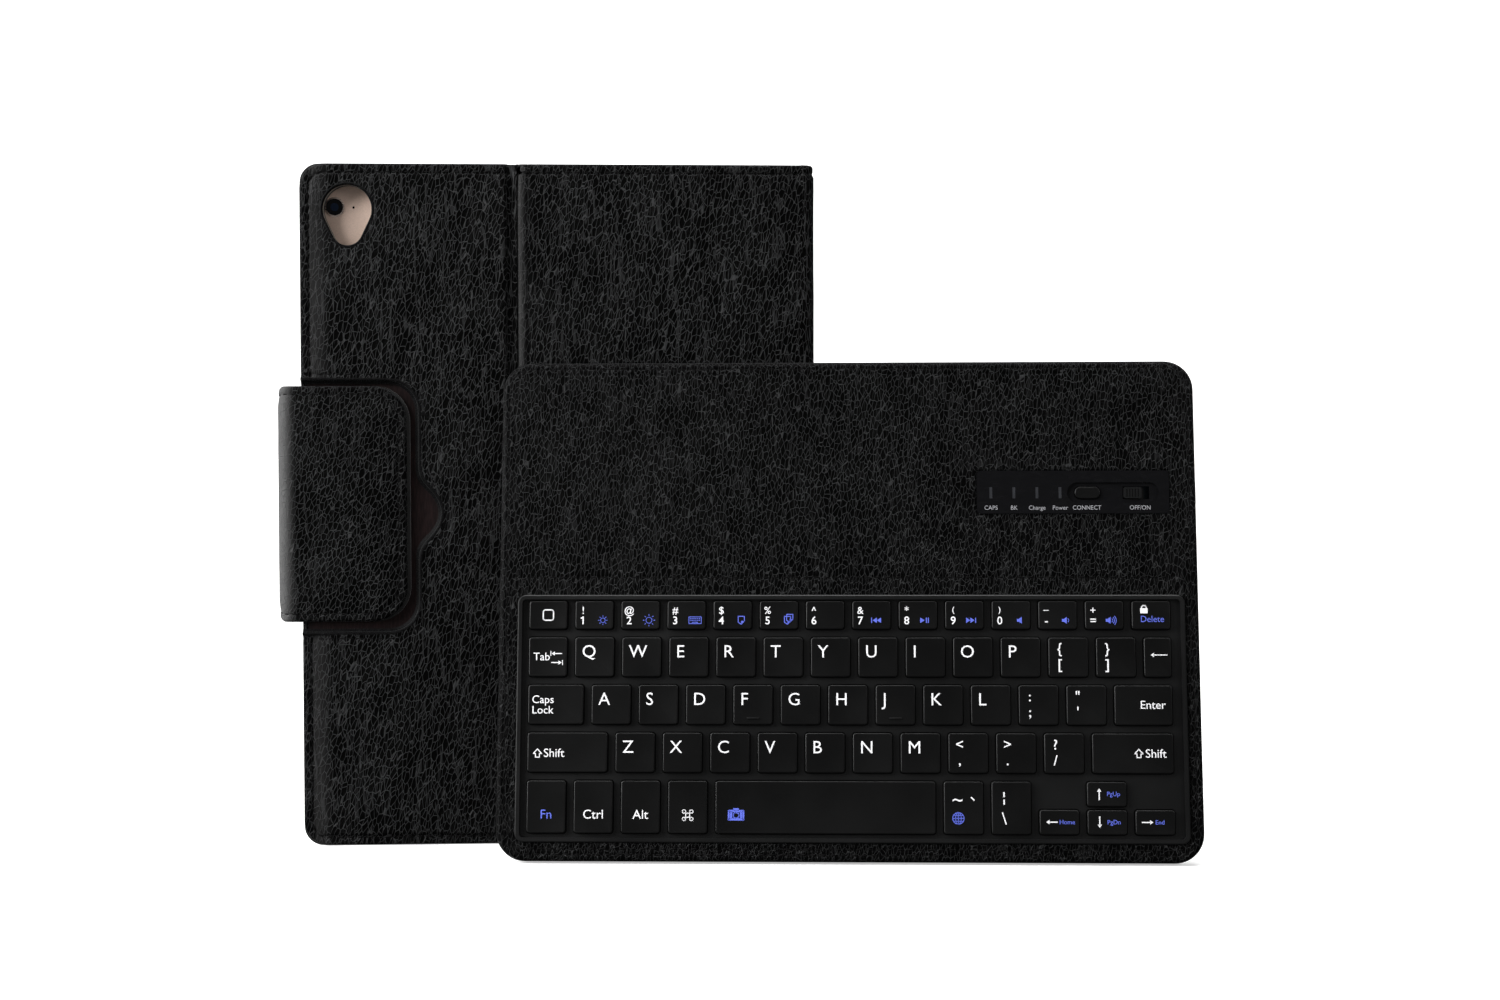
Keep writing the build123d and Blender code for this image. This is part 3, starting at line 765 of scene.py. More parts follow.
def drop_rim(bm: Shape, depth: float) -> list[bmesh.types.BMVert]:
    """Grow walls from the open edges down to a depth.

    Args:
        bm: An open mesh.
        depth: Where the walls end, below the face.
    Returns:
        The walls' new vertices.
    """
    grown = vertices(bmesh.ops.extrude_edge_only(bm, edges=open_edges(bm))["geom"])
    for vert in grown:
        vert.co.z = -depth
    return grown


def round_side(bm: Shape, x: float, inward: int, low: float, high: float, radius: float) -> None:
    """Round a grid's lower and upper corner at one side.

    Args:
        bm: The grid.
        x: Where the side is.
        inward: 1 for a left side, -1 for a right side.
        low: Lower end of the side.
        high: Upper end.
        radius: Radius of both corners.
    """
    round_corner(bm, (x, low), (inward, 1), radius)
    round_corner(bm, (x, high), (inward, -1), radius)


def raised(points: Sequence[Pair], height: float) -> list[Triple]:
    """The same points at a height."""
    return [(x, y, height) for x, y in points]


def round_corner(bm: Shape, corner: Pair, inward: tuple[int, int], radius: float) -> None:
    """Pull a grid's square corner in to an arc.

    Args:
        bm: The grid.
        corner: The corner's place.
        inward: Signs that point from the corner into the grid.
        radius: Radius of the arc.
    """
    centre = Vector((corner[0] + inward[0] * radius, corner[1] + inward[1] * radius))
    for vert in bm.verts:
        dx, dy = vert.co.x - centre.x, vert.co.y - centre.y
        if dx * inward[0] < 0 and dy * inward[1] < 0:
            pull = max(abs(dx), abs(dy)) / math.hypot(dx, dy)
            vert.co.x, vert.co.y = centre.x + dx * pull, centre.y + dy * pull


def emboss(bm: Shape, depth: Outline) -> None:
    """Sink each vertex below the face.

    Args:
        bm: A flat grid.
        depth: Function of x and y that gives the depth in millimetres.
    """
    verts = list(bm.verts)
    x = np.array([v.co.x for v in verts])
    y = np.array([v.co.y for v in verts])
    for vert, sunk in zip(verts, depth(x, y)):
        vert.co.z = -float(sunk)


def back_up(bm: Shape, edge: float, inner: float, wrap: float) -> None:
    """Close a relief grid into a skin whose edges wrap back over its board.

    Args:
        bm: The embossed grid.
        edge: Depth of the wrapped edge's end.
        inner: Depth of the skin's inner face.
        wrap: Width of the wrapped edge.
    """
    drop_rim(bm, edge)
    face = bmesh.ops.holes_fill(bm, edges=open_edges(bm), sides=0)["faces"][0]
    if wrap > 0:
        bmesh.ops.inset_region(bm, faces=[face], thickness=wrap)
        bmesh.ops.delete(bm, geom=[face], context="FACES_ONLY")
        drop_rim(bm, inner)
        bmesh.ops.holes_fill(bm, edges=open_edges(bm), sides=0)
    bmesh.ops.recalc_face_normals(bm, faces=bm.faces)


def reach(outline: Outline, centre: Pair, angles: np.ndarray, offset: float) -> np.ndarray:
    """How far an outline lies from a point inside it.

    Args:
        outline: Signed distance function.
        centre: Point from which the whole outline can be seen.
        angles: Directions.
        offset: Distance outside the outline, negative inside.
    Returns:
        The distance in each direction.
    """
    low = np.zeros_like(angles)
    step = 0.5
    open_ = np.ones_like(angles, bool)
    while open_.any():
        nxt = low + step
        inside = outline(centre[0] + nxt * np.cos(angles), centre[1] + nxt * np.sin(angles)) < offset
        open_ &= inside
        low = np.where(open_, nxt, low)
    high = low + step
    for _ in range(24):
        mid = (low + high) / 2
        inside = outline(centre[0] + mid * np.cos(angles), centre[1] + mid * np.sin(angles)) < offset
        low, high = np.where(inside, mid, low), np.where(inside, high, mid)
    return (low + high) / 2


def loft(outline: Outline, centre: Pair, levels: Sequence[Pair], count: int, cap: bool) -> Shape:
    """Rings that follow an outline, joined into a band.

    Args:
        outline: Signed distance function.
        centre: Point from which the whole outline can be seen.
        levels: Offset from the outline and height of each ring.
        count: Points in a ring.
        cap: True to close both ends; otherwise the last ring joins the first.
    Returns:
        The closed band.
    """
    bm = bmesh.new()
    ring = bmesh.ops.create_circle(bm, cap_ends=False, segments=count, radius=1.0)["verts"]
    angles = np.array([math.atan2(v.co.y, v.co.x) for v in ring])
    turn = {v: a for v, a in zip(ring, angles)}

    def put(verts: Sequence[bmesh.types.BMVert], offset: float, height: float) -> None:
        """Move a ring to its offset and height."""
        facing = np.array([turn[v] for v in verts])
        for vert, angle, run in zip(verts, facing, reach(outline, centre, facing, offset)):
            vert.co = Vector((centre[0] + run * math.cos(angle), centre[1] + run * math.sin(angle), height))

    edges = list(bm.edges)
    put(ring, *levels[0])
    for offset, height in levels[1:]:
        grown = bmesh.ops.extrude_edge_only(bm, edges=edges)["geom"]
        edges = [g for g in grown if isinstance(g, bmesh.types.BMEdge)]
        verts = vertices(grown)
        for vert in verts:
            turn[vert] = math.atan2(vert.co.y - centre[1], vert.co.x - centre[0])
        put(verts, offset, height)
    if cap:
        bmesh.ops.holes_fill(bm, edges=open_edges(bm), sides=0)
    else:
        bmesh.ops.bridge_loops(bm, edges=open_edges(bm))
    bmesh.ops.recalc_face_normals(bm, faces=bm.faces)
    return bm


def cutter(outline: Outline, centre: Pair, low: float, count: int) -> bpy.types.Object:
    """A prism to cut the back cover with.

    Args:
        outline: Signed distance function.
        centre: Point from which the whole outline can be seen.
        low: Lower height; the prism ends above the face.
        count: Points round it.
    Returns:
        The cutting object.
    """
    bm = loft(outline, centre, [(0.0, low), (0.0, 2.0)], count, True)
    return piece(bm, "cutter", CASE.back(), Finishes.TRAY)


@dataclass(frozen=True)
class Seam:
    """A row of stitches along a line of points."""

    pitch: float = 3.6
    length: float = 2.6
    girth: float = 0.26

    def sew(self, bm: Shape, line: Sequence[Triple]) -> None:
        """Add the stitches.

        Args:
            bm: Mesh to add to.
            line: Points that the seam follows, with +Z out of the leather.
        """
        points = [Vector(p) for p in line]
        runs = [(b - a).length for a, b in zip(points, points[1:])]
        total = sum(runs)
        count = max(1, int(total / self.pitch))
        for index in range(count):
            want = (index + 0.5) * total / count
            for start, stop, run in zip(points, points[1:], runs):
                if want <= run or stop is points[-1]:
                    place = start.lerp(stop, want / max(run, 1e-9))
                    along = (stop - start).normalized()
                    break
                want -= run
            side = Vector((0, 0, 1)).cross(along).normalized()
            turn = Matrix((along, side, along.cross(side))).transposed().to_4x4()
            size = Matrix.Diagonal((self.length / 2, self.girth, self.girth, 1.0))
            place_in = Matrix.Translation(place) @ turn @ size
            bmesh.ops.create_icosphere(bm, subdivisions=1, radius=1.0, matrix=place_in)


# ---------------------------------------------------------------- the folio

@dataclass
class LensWindow:
    """Camera hole through the back cover."""

    x: float = 17.6
    top: float = 235.1
    top_r: float = 8.9
    tip: float = 227.4
    tip_r: float = 5.6

    def outline(self) -> Outline:
        """Outline of the hole."""
        return egg_outline(self.x, self.top, self.top_r, self.tip, self.tip_r)

    def centre(self) -> Pair:
        """A point from which the whole hole can be seen."""
        return (self.x, self.top - 2.0)

    def welt(self) -> bpy.types.Object:
        """Turned leather edge round the hole."""
        levels = [(0.05, -1.3), (0.0, -0.6), (0.12, -0.28), (0.42, -0.1), (0.8, -0.12)]
        levels += [(1.05, -0.4), (1.05, -1.3)]
        bm = loft(self.outline(), self.centre(), levels, 96, False)
        made = piece(bm, "lens_window_edge", CASE.back(), Finishes.WELT, 60)
        return mount(made, "holder_panel", "leather_black")


@dataclass
class ClaspSeat:
    """Recess in the holder panel that the clasp lies in, with its finger notch."""

    right: float = 43.0
    low: float = 79.4
    high: float = 172.0
    radius: float = 11.0
    notch: float = 51.3
    notch_r: float = 9.8
    notch_y: float = 123.25
    floor: float = 1.7
    bottom: float = 2.3

    def outline(self) -> Outline:
        """Outline of the recess, open past the clasp edge."""
        seat = box_outline(-self.right, self.right, self.low, self.high, self.radius)
        return merged(seat, self.thumb, 8.0)

    def thumb(self, x: np.ndarray, y: np.ndarray) -> np.ndarray:
        """Distance from the round finger notch."""
        return np.hypot(x - self.notch + self.notch_r, y - self.notch_y) - self.notch_r

    def centre(self) -> Pair:
        """A point from which the whole recess can be seen."""
        return (24.0, (self.low + self.high) / 2)

    def lining(self) -> bpy.types.Object:
        """Smooth leather floor with shallow stretch folds."""
        xs = spaced(2.05, self.notch + 1.0, 0.9, [])
        ys = spaced(self.low - 1.0, self.high + 1.0, 0.9, [])
        bm = lattice(xs, ys)

        def sunk(x: np.ndarray, y: np.ndarray) -> np.ndarray:
            """Depth of the floor."""
            fold = ruffle(x - y * 0.6, y + x * 0.6, 3.0, 14.0, 3.1) * 0.1
            near = -self.outline()(x, y)
            return self.floor + 0.05 + fold * smooth(0.5, 4.0, near)
        emboss(bm, sunk)
        back_up(bm, self.bottom - 0.03, 0.0, 0.0)
        made = piece(bm, "clasp_seat_floor", CASE.back(), Finishes.SEAT, 50)
        return mount(made, "holder_panel", "leather_seat", "clasp_seat")

    def edging(self) -> bpy.types.Object:
        """Raised welt along the recess's edge, trimmed at the clasp edge of the panel."""
        levels = [(-1.1, -1.09), (-1.05, -1.02), (-0.2, -1.0), (-0.05, -0.8), (0.0, -0.42), (0.3, -0.16)]
        levels += [(0.75, -0.1), (1.2, -0.22), (1.45, -0.6), (1.45, -1.09)]
        bm = loft(self.outline(), self.centre(), levels, 260, False)
        trim = bm.verts[:] + bm.edges[:] + bm.faces[:]
        bmesh.ops.bisect_plane(bm, geom=trim, plane_co=(0.15, 0, 0), plane_no=(-1, 0, 0), clear_outer=True)
        bmesh.ops.holes_fill(bm, edges=open_edges(bm), sides=0)
        bmesh.ops.recalc_face_normals(bm, faces=bm.faces)
        made = piece(bm, "clasp_seat_edge", CASE.back(), Finishes.WELT, 60)
        return mount(made, "holder_panel", "leather_black")

    def seam_line(self, offset: float, height: float) -> list[Triple]:
        """Points round the recess, at an offset, for its row of stitches."""
        angles = np.linspace(-math.pi * 0.72, math.pi * 0.72, 240)
        runs = reach(self.outline(), self.centre(), angles, offset)
        cx, cy = self.centre()
        line = [(cx + r * math.cos(a), cy + r * math.sin(a), height) for a, r in zip(angles, runs)]
        return [p for p in line if p[0] > 5.0]


@dataclass
class Covers:
    """Leather of the back cover's two panels and of the front cover."""

    width: float = 185.2
    height: float = 252.0
    crease: float = 77.8
    half: float = 1.6
    corner: float = 9.0
    rim: float = 0.7
    edge: float = 2.3
    inner: float = 1.1
    wrap: float = 2.0
    window: LensWindow = field(default_factory=LensWindow)
    seat: ClaspSeat = field(default_factory=ClaspSeat)
    seam: Seam = field(default_factory=Seam)
    seam_in: float = 3.1
    seam_z: float = -0.74

    def border(self, inside: np.ndarray) -> np.ndarray:
        """Depth of the stitched rim and the padded face beside it.

        Args:
            inside: Distance from the free edge.
        Returns:
            Depth below the cover's outermost face.
        """
        level = self.rim - 0.38 * smooth(3.5, 4.5, inside) - 0.32 * smooth(4.2, 13.0, inside)
        return level + 0.26 * groove(inside, 3.3, 0.5) + rolled(inside, 1.1) * 0.9

    def swell(self, x: np.ndarray, y: np.ndarray, seed: float) -> np.ndarray:
        """Slow unevenness of padded leather, never proud of the face."""
        return 0.04 * (1 + ruffle(x, y, 26.0, 34.0, seed)) + 0.02 * (1 + ruffle(x, y, 5.0, 9.0, seed + 7))

    def fine_rows(self) -> list[Triple]:
        """Close lines along the bottom and top rims."""
        return [(0.0, 5.2, 0.42), (self.height - 5.2, self.height, 0.42)]

    def holder(self) -> bpy.types.Object:
        """Holder panel, from the clasp edge to the crease, with its hole and recess."""
        right = self.crease - self.half
        xs = spaced(0.0, right, 1.3, [(0.0, 5.2, 0.42), (38.0, 55.0, 0.6), (right - 4.5, right, 0.5)])
        by_recess = [(75.0, 84.0, 0.55), (105.0, 142.0, 0.9), (168.0, 177.0, 0.55)]
        bm = lattice(xs, spaced(0.0, self.height, 1.3, self.fine_rows() + by_recess))
        round_side(bm, 0.0, 1, 0.0, self.height, self.corner)
        free = box_outline(0.0, 3 * self.width, 0.0, self.height, self.corner)
        recess, hole = self.seat.outline(), self.window.outline()

        def depth(x: np.ndarray, y: np.ndarray) -> np.ndarray:
            """Relief of the holder panel."""
            lip, eye = recess(x, y), hole(x, y)
            sunk = self.border(-free(x, y)) + self.swell(x, y, 1.7) * smooth(3.5, 7.0, -free(x, y))
            near = smooth(14.0, 2.0, lip)
            sunk += near * 0.1 * (1 + ruffle(x - 0.8 * y, y + 0.8 * x, 2.6, 9.0, 5.3))
            sunk += 0.3 * groove(lip, 2.5, 0.5) + 0.25 * rolled(np.maximum(lip, 0), 1.5)
            sunk += 0.22 * rolled(np.maximum(eye, 0), 2.6) * smooth(6.0, 1.0, eye)
            side = right - x
            gathers = 0.06 * smooth(12.0, 3.0, side) * (1 + ruffle(x, y, 1.5, 22.0, 9.9))
            sunk += 1.15 * rolled(side, 1.7) * 0.62 + gathers
            beside = np.minimum(np.minimum(-free(x, y), side), np.abs(lip) + 0.6)
            return np.minimum(sunk, 1.0 + 2.5 * smooth(2.0, 0.6, beside))
        emboss(bm, depth)
        back_up(bm, self.edge, self.inner, self.wrap)
        made = piece(bm, "holder_leather", CASE.back(), Finishes.FOLIO)
        cut(
            made,
            cutter(hole, self.window.centre(), -3.5, 96),
            cutter(recess, self.seat.centre(), -self.seat.floor, 200),
        )
        return mount(made, "holder_panel", "leather_black", "holder_skin")

    def stand(self) -> bpy.types.Object:
        """Stand panel, from the crease's ridge to the spine."""
        left = self.crease + self.half
        xs = spaced(left, self.width, 1.3, [(left, left + 7.0, 0.42), (self.width - 8.0, self.width, 0.42)])
        bm = lattice(xs, spaced(0.0, self.height, 1.3, self.fine_rows()))

        def depth(x: np.ndarray, y: np.ndarray) -> np.ndarray:
            """Relief of the stand panel."""
            sunk = self.border(np.minimum(y, self.height - y)) + self.swell(x, y, 4.4)
            run = x - left
            sunk += 1.0 * rolled(run, 3.0) + 0.3 * groove(run, 4.4, 0.5)
            sunk += 0.05 * smooth(11.0, 3.0, run) * (1 + ruffle(x, y, 1.4, 20.0, 2.2))
            pleat = smooth(178.5, 182.0, x)
            return sunk + pleat * 0.12 * (1 + ruffle(x, y, 0.9, 26.0, 8.8))
        emboss(bm, depth)
        back_up(bm, self.edge, self.inner, self.wrap)
        made = piece(bm, "stand_leather", CASE.back(), Finishes.FOLIO)
        return mount(made, "stand_panel", "leather_black", "stand_skin")

    def front(self) -> bpy.types.Object:
        """Front cover, seen only from behind."""
        xs = spaced(-self.width, 0.0, 1.8, [(-self.width, -self.width + 7.0, 0.6), (-5.2, 0.0, 0.42)])
        bm = lattice(xs, spaced(0.0, self.height, 1.8, self.fine_rows()))
        round_side(bm, 0.0, -1, 0.0, self.height, self.corner)
        free = box_outline(-3 * self.width, 0.0, 0.0, self.height, self.corner)

        def depth(x: np.ndarray, y: np.ndarray) -> np.ndarray:
            """Relief of the front cover."""
            pleat = smooth(7.0, 2.0, x + self.width) * 0.1 * (1 + ruffle(x, y, 0.9, 26.0, 1.8))
            return self.border(-free(x, y)) + self.swell(x, y, 6.1) + pleat
        emboss(bm, depth)
        back_up(bm, self.edge, self.inner, self.wrap)
        made = piece(bm, "cover_leather", CASE.front(), Finishes.FRONT)
        return mount(made, "front_cover", "leather_black", "cover_skin")

    def rim_line(self, stop: float) -> list[Triple]:
        """Seam line along the bottom rim, round the clasp edge and back along the top rim.

        Args:
            stop: Where the line begins and ends, counted from the clasp edge.
        Returns:
            Points of the line.
        """
        inset, turn = self.seam_in, self.corner - self.seam_in
        low, high = inset, self.height - inset
        base = Route.arc(inset + turn, low + turn, turn, 270, 180, 7)
        crown = Route.arc(inset + turn, high - turn, turn, 180, 90, 7)
        return raised([(stop, low)] + base + crown + [(stop, high)], self.seam_z)

    def stitches(self) -> None:
        """Thread along the rims and round the recess."""
        bm = bmesh.new()
        line = self.rim_line(self.crease - 4.0)
        low, high = self.seat.low - 1, self.seat.high + 1
        keep = [p for p in self.dense(line) if p[0] > 6.0 or not low < p[1] < high]
        for run in self.runs(keep):
            self.seam.sew(bm, run)
        self.seam.sew(bm, self.seat.seam_line(2.5, -0.42))
        made = piece(bm, "holder_stitches", CASE.back(), Finishes.THREAD, 60)
        mount(made, "holder_panel", "leather_black")
        bm = bmesh.new()
        for level in (self.seam_in, self.height - self.seam_in):
            self.seam.sew(bm, raised([(self.crease + 4.0, level), (self.width - 3.0, level)], self.seam_z))
        made = piece(bm, "stand_stitches", CASE.back(), Finishes.THREAD, 60)
        mount(made, "stand_panel", "leather_black")
        bm = bmesh.new()
        line = [(-x, y, z) for x, y, z in self.rim_line(self.width - 3.0)]
        self.seam.sew(bm, line)
        made = piece(bm, "cover_stitches", CASE.front(), Finishes.THREAD, 60)
        mount(made, "front_cover", "leather_black")

    def dense(self, line: Sequence[Triple]) -> list[Triple]:
        """Points every millimetre or so along a line."""
        points: list[Triple] = []
        for a, b in zip(line, line[1:]):
            start, stop = Vector(a), Vector(b)
            count = max(1, int((stop - start).length))
            points += [tuple(start.lerp(stop, i / count)) for i in range(count)]
        return points + [tuple(line[-1])]

    def runs(self, points: Sequence[Triple]) -> list[list[Triple]]:
        """Split points into runs where neighbours are far apart."""
        made = [[points[0]]]
        for a, b in zip(points, points[1:]):
            if (Vector(b) - Vector(a)).length > 4.0:
                made.append([])
            made[-1].append(b)
        return made

    def build(self) -> None:
        """Make the three covers and their seams."""
        self.holder()
        self.window.welt()
        self.seat.lining()
        self.seat.edging()
        self.stand()
        self.front()
        self.stitches()


@dataclass(frozen=True)
class Route:
    """Path in plan that a bent strip of leather follows, outer side on its right."""

    points: tuple[Pair, ...]

    @staticmethod
    def arc(cx: float, cy: float, radius: float, start: float, stop: float, count: int) -> list[Pair]:
        """Points of an arc, angles in degrees."""
        turns = np.radians(np.linspace(start, stop, count))
        return [(cx + radius * math.cos(t), cy + radius * math.sin(t)) for t in turns]

    def length(self) -> float:
        """Length of the path."""
        return sum(math.dist(a, b) for a, b in zip(self.points, self.points[1:]))

    def at(self, run: float) -> tuple[Vector, Vector]:
        """Place and inward direction at a distance along the path.

        Args:
            run: Distance from the start.
        Returns:
            The point and the unit vector that points from the outer face inwards.
        """
        pairs = list(zip(self.points, self.points[1:]))
        for a, b in pairs:
            step = math.dist(a, b)
            if run <= step or (a, b) == pairs[-1]:
                start, stop = Vector(a), Vector(b)
                along = (stop - start) / step
                return start + along * run, Vector((-along.y, along.x))
            run -= step
        return Vector(self.points[0]), Vector((0.0, 0.0))

    def bend(self, bm: Shape) -> None:
        """Wrap a flat strip along the path: x becomes the run, y the height, z the way out."""
        for vert in bm.verts:
            place, inward = self.at(vert.co.x)
            spot = place - inward * vert.co.z
            vert.co = Vector((spot.x, spot.y, vert.co.y))


@dataclass
class Folds:
    """Flexible leather between the panels, and the spine."""

    height: float = 252.0
    spine_x: float = 185.5
    radius: float = 4.5
    depth: float = 21.5
    skin: float = 0.9

    def strip(self, name: str, route: Route, finish: Finishes, seed: float) -> bpy.types.Object:
        """A bent strip with lengthwise wrinkles and rounded ends.

        Args:
            name: Name of the piece.
            route: Path it follows.
            finish: Its finish.
            seed: Picks its wrinkles.
        Returns:
            The piece, in place.
        """
        length = route.length()
        xs = spaced(0.0, length, 0.42, [])
        ys = spaced(0.05, self.height - 0.05, 1.5, [(0.0, 5.2, 0.42), (self.height - 5.2, self.height, 0.42)])
        bm = lattice(xs, ys)

        def depth(x: np.ndarray, y: np.ndarray) -> np.ndarray:
            """Relief of the strip."""
            edge = np.minimum(y, self.height - y)
            level = 0.42 - 0.36 * smooth(3.5, 4.5, edge) + 0.28 * groove(edge, 3.1, 0.42)
            level += 0.8 * rolled(edge, 1.0)
            pleat = 0.1 * (1 + ruffle(x, y, 0.85, 26.0, seed)) + 0.05 * (1 + ruffle(x, y, 2.5, 9.0, seed + 3))
            ends = np.minimum(x, length - x)
            return level + pleat + 0.05 * smooth(0.6, 0.0, ends)
        emboss(bm, depth)
        back_up(bm, self.skin + 0.25, 0.0, 0.0)
        route.bend(bm)
        bmesh.ops.recalc_face_normals(bm, faces=bm.faces)
        return piece(bm, name, CASE.plan(), finish)

    def crease(self) -> None:
        """Sunken web between the holder and the stand panel."""
        x0, x1 = 76.0, 79.6
        bm = lattice(spaced(x0, x1, 0.3, []), spaced(0.3, self.height - 0.3, 1.5, []))

        def depth(x: np.ndarray, y: np.ndarray) -> np.ndarray:
            """Relief of the web."""
            middle = (x0 + x1) / 2
            return 1.12 + 0.22 * groove(x, middle, 0.9) + 0.06 * ruffle(x, y, 0.9, 18.0, 5.5)
        emboss(bm, depth)
        back_up(bm, 1.75, 0.0, 0.0)
        made = piece(bm, "crease_web", CASE.back(), Finishes.SPINE)
        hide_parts("crease_strip")
        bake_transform(made)

    def spine(self) -> None:
        """Spine leather and the two strips that bend beside it."""
        x, r = self.spine_x, self.radius
        back = Route(tuple([(x - 0.6, 0.0)] + Route.arc(x, r, r, -90, 0, 16) + [(x + r, r + 0.45)]))
        made = self.strip("spine_back_fold", back, Finishes.SPINE, 11.0)
        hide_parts("back_hinge_strip")
        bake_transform(made)
        middle = Route(((x + r, r + 0.2), (x + r, self.depth - r - 0.2)))
        made = self.strip("spine_leather", middle, Finishes.SPINE, 12.0)
        mount(made, "spine", "leather_black", "spine_skin")
        top = self.depth - r
        points = [(x + r, top - 0.45)] + Route.arc(x, top, r, 0, 90, 16) + [(x - 0.6, self.depth)]
        front = Route(tuple(points))
        made = self.strip("spine_front_fold", front, Finishes.SPINE, 13.0)
        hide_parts("front_hinge_strip")
        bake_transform(made)

    def build(self) -> None:
        """Make the folds and the spine."""
        self.crease()
        self.spine()


@dataclass
class Clasp:
    """Strap round the free edge and padded flap, one bent piece of leather."""

    low: float = 83.1
    high: float = 170.1
    tip: float = 38.8
    tip_r: float = 13.0
    out: float = 9.2
    proud: float = 1.0
    root: float = 21.1
    turn: float = 6.3
    fold_r: float = 2.8
    strap_t: float = 1.4
    flap_t: float = 1.8
    seam: Seam = field(default_factory=Seam)
    seam_in: float = 3.0
    seam_z: float = -0.62

    def route(self) -> Route:
        """Outer face of the clasp in plan, from the front cover to the tip."""
        cx = -self.out + self.turn
        points = [(-0.35, self.root)]
        points += Route.arc(cx, self.root - self.turn, self.turn, 90, 180, 14)
        points += Route.arc(cx, -self.proud + self.turn, self.turn, 180, 270, 14)
        points.append((self.tip, -self.proud))
        return Route(tuple(points))

    def span(self) -> Pair:
        """Where the flap begins along the route, and the route's length."""
        length = self.route().length()
        return length - self.tip + self.out * 0.3, length

    def outline(self, length: float) -> Outline:
        """Outline of the unrolled clasp, rounded at its tip only."""
        return box_outline(-3 * length, length, self.low, self.high, self.tip_r)

    def round_folds(self, bm: Shape) -> None:
        """Draw the clasp in a little towards its outermost fold."""
        middle, half = (self.low + self.high) / 2, (self.high - self.low) / 2
        for vert in bm.verts:
            past = min(max(self.fold_r - self.out - vert.co.x, 0.0), self.fold_r)
            drawn = self.fold_r - math.sqrt(self.fold_r ** 2 - past ** 2)
            vert.co.z = middle + (vert.co.z - middle) * (1 - drawn / half)

    def bend(self, made: bpy.types.Object) -> None:
        """Bake the place of a piece of the clasp into its mesh."""
        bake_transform(made)

    def grid(self, length: float, xs: Sequence[float]) -> Shape:
        """Flat grid of the unrolled clasp."""
        fine = [(self.low, self.low + 5.0, 0.42), (self.high - 5.0, self.high, 0.42)]
        bm = lattice(xs, spaced(self.low, self.high, 0.9, fine))
        round_side(bm, length, -1, self.low, self.high, self.tip_r)
        return bm

    def leather(self) -> None:
        """The padded leather itself."""
        flap, length = self.span()
        xs = spaced(0.0, length, 0.9, [(length - 7.0, length, 0.42), (0.0, flap + 3.0, 0.5)])
        bm, back = self.grid(length, xs), self.grid(length, xs)
        shape = self.outline(length)

        def depth(x: np.ndarray, y: np.ndarray) -> np.ndarray:
            """Relief of the clasp."""
            inside = -shape(x, y)
            level = 0.3 - 0.3 * smooth(3.4, 7.0, inside) + 0.3 * groove(inside, self.seam_in, 0.5)
            level += 0.85 * rolled(inside, 1.15)
            plump = -0.5 * smooth(4.0, 16.0, inside) * smooth(flap, flap + 10.0, x)
            crinkle = 0.05 * (1 + ruffle(x, y, 3.0, 9.0, 21.0)) + 0.05 * (1 + ruffle(x, y, 12.0, 15.0, 22.0))
            return level + plump + crinkle

        def thick(x: np.ndarray, y: np.ndarray) -> np.ndarray:
            """Depth of the inner face, greater at the flap."""
            return self.strap_t + (self.flap_t - self.strap_t) * smooth(flap - 2, flap + 2, x)
        emboss(bm, depth)
        for vert in drop_rim(bm, self.strap_t):
            vert.co.z = -float(thick(np.array(vert.co.x), np.array(vert.co.y)))
        emboss(back, thick)
        bmesh.ops.reverse_faces(back, faces=back.faces)
        join(bm, back)
        bmesh.ops.remove_doubles(bm, verts=bm.verts, dist=0.002)
        made = self.wrap(bm, "clasp_leather", Finishes.CLASP)
        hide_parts("clasp_strap", "flap_skin")
        self.bend(made)

    def wrap(self, bm: Shape, name: str, finish: Finishes, crease: float = 38.0) -> bpy.types.Object:
        """Fold a flat shape round the free edge and make it a piece."""
        self.route().bend(bm)
        self.round_folds(bm)
        bmesh.ops.recalc_face_normals(bm, faces=bm.faces)
        return piece(bm, name, CASE.plan(), finish, crease)

    def stitches(self) -> None:
        """Thread round the clasp's edge."""
        inset, turn, start = self.seam_in, self.tip_r - self.seam_in, 1.5
        low, high, end = self.low + inset, self.high - inset, self.route().length() - inset
        line = [(start, low)] + Route.arc(end - turn, low + turn, turn, -90, 0, 10)
        line += Route.arc(end - turn, high - turn, turn, 0, 90, 10) + [(start, high)]
        bm = bmesh.new()
        self.seam.sew(bm, raised(line, self.seam_z))
        self.bend(self.wrap(bm, "clasp_stitches", Finishes.THREAD, 60))

    def build(self) -> None:
        """Make the clasp."""
        self.leather()
        self.stitches()


# ---------------------------------------------------------------- the keyboard

def bevel(bm: Shape, edges: Sequence[bmesh.types.BMEdge], width: float, steps: int) -> None:
    """Round some edges of a mesh."""
    bmesh.ops.bevel(
        bm, geom=edges, offset=width, offset_type="OFFSET", segments=steps,
        profile=0.5, affect="EDGES", material=-1, clamp_overlap=True,
    )


def slab(
    x0: float, x1: float, y0: float, y1: float, low: float, high: float, radius: float, steps: int = 4,
) -> Shape:
    """Flat block with rounded upright edges.

    Args:
        x0: Left side.
        x1: Right side.
        y0: Bottom side.
        y1: Top side.
        low: Lower face.
        high: Upper face.
        radius: Radius of the upright edges.
        steps: Faces round each of them.
    Returns:
        The block.
    """
    bm = bmesh.new()
    bmesh.ops.create_cube(bm, size=1.0)
    bmesh.ops.scale(bm, vec=(x1 - x0, y1 - y0, high - low), verts=bm.verts)
    bmesh.ops.translate(bm, vec=((x0 + x1) / 2, (y0 + y1) / 2, (low + high) / 2), verts=bm.verts)
    upright = [e for e in bm.edges if abs(e.verts[0].co.z - e.verts[1].co.z) > 1e-6]
    bevel(bm, upright, radius, steps)
    return bm


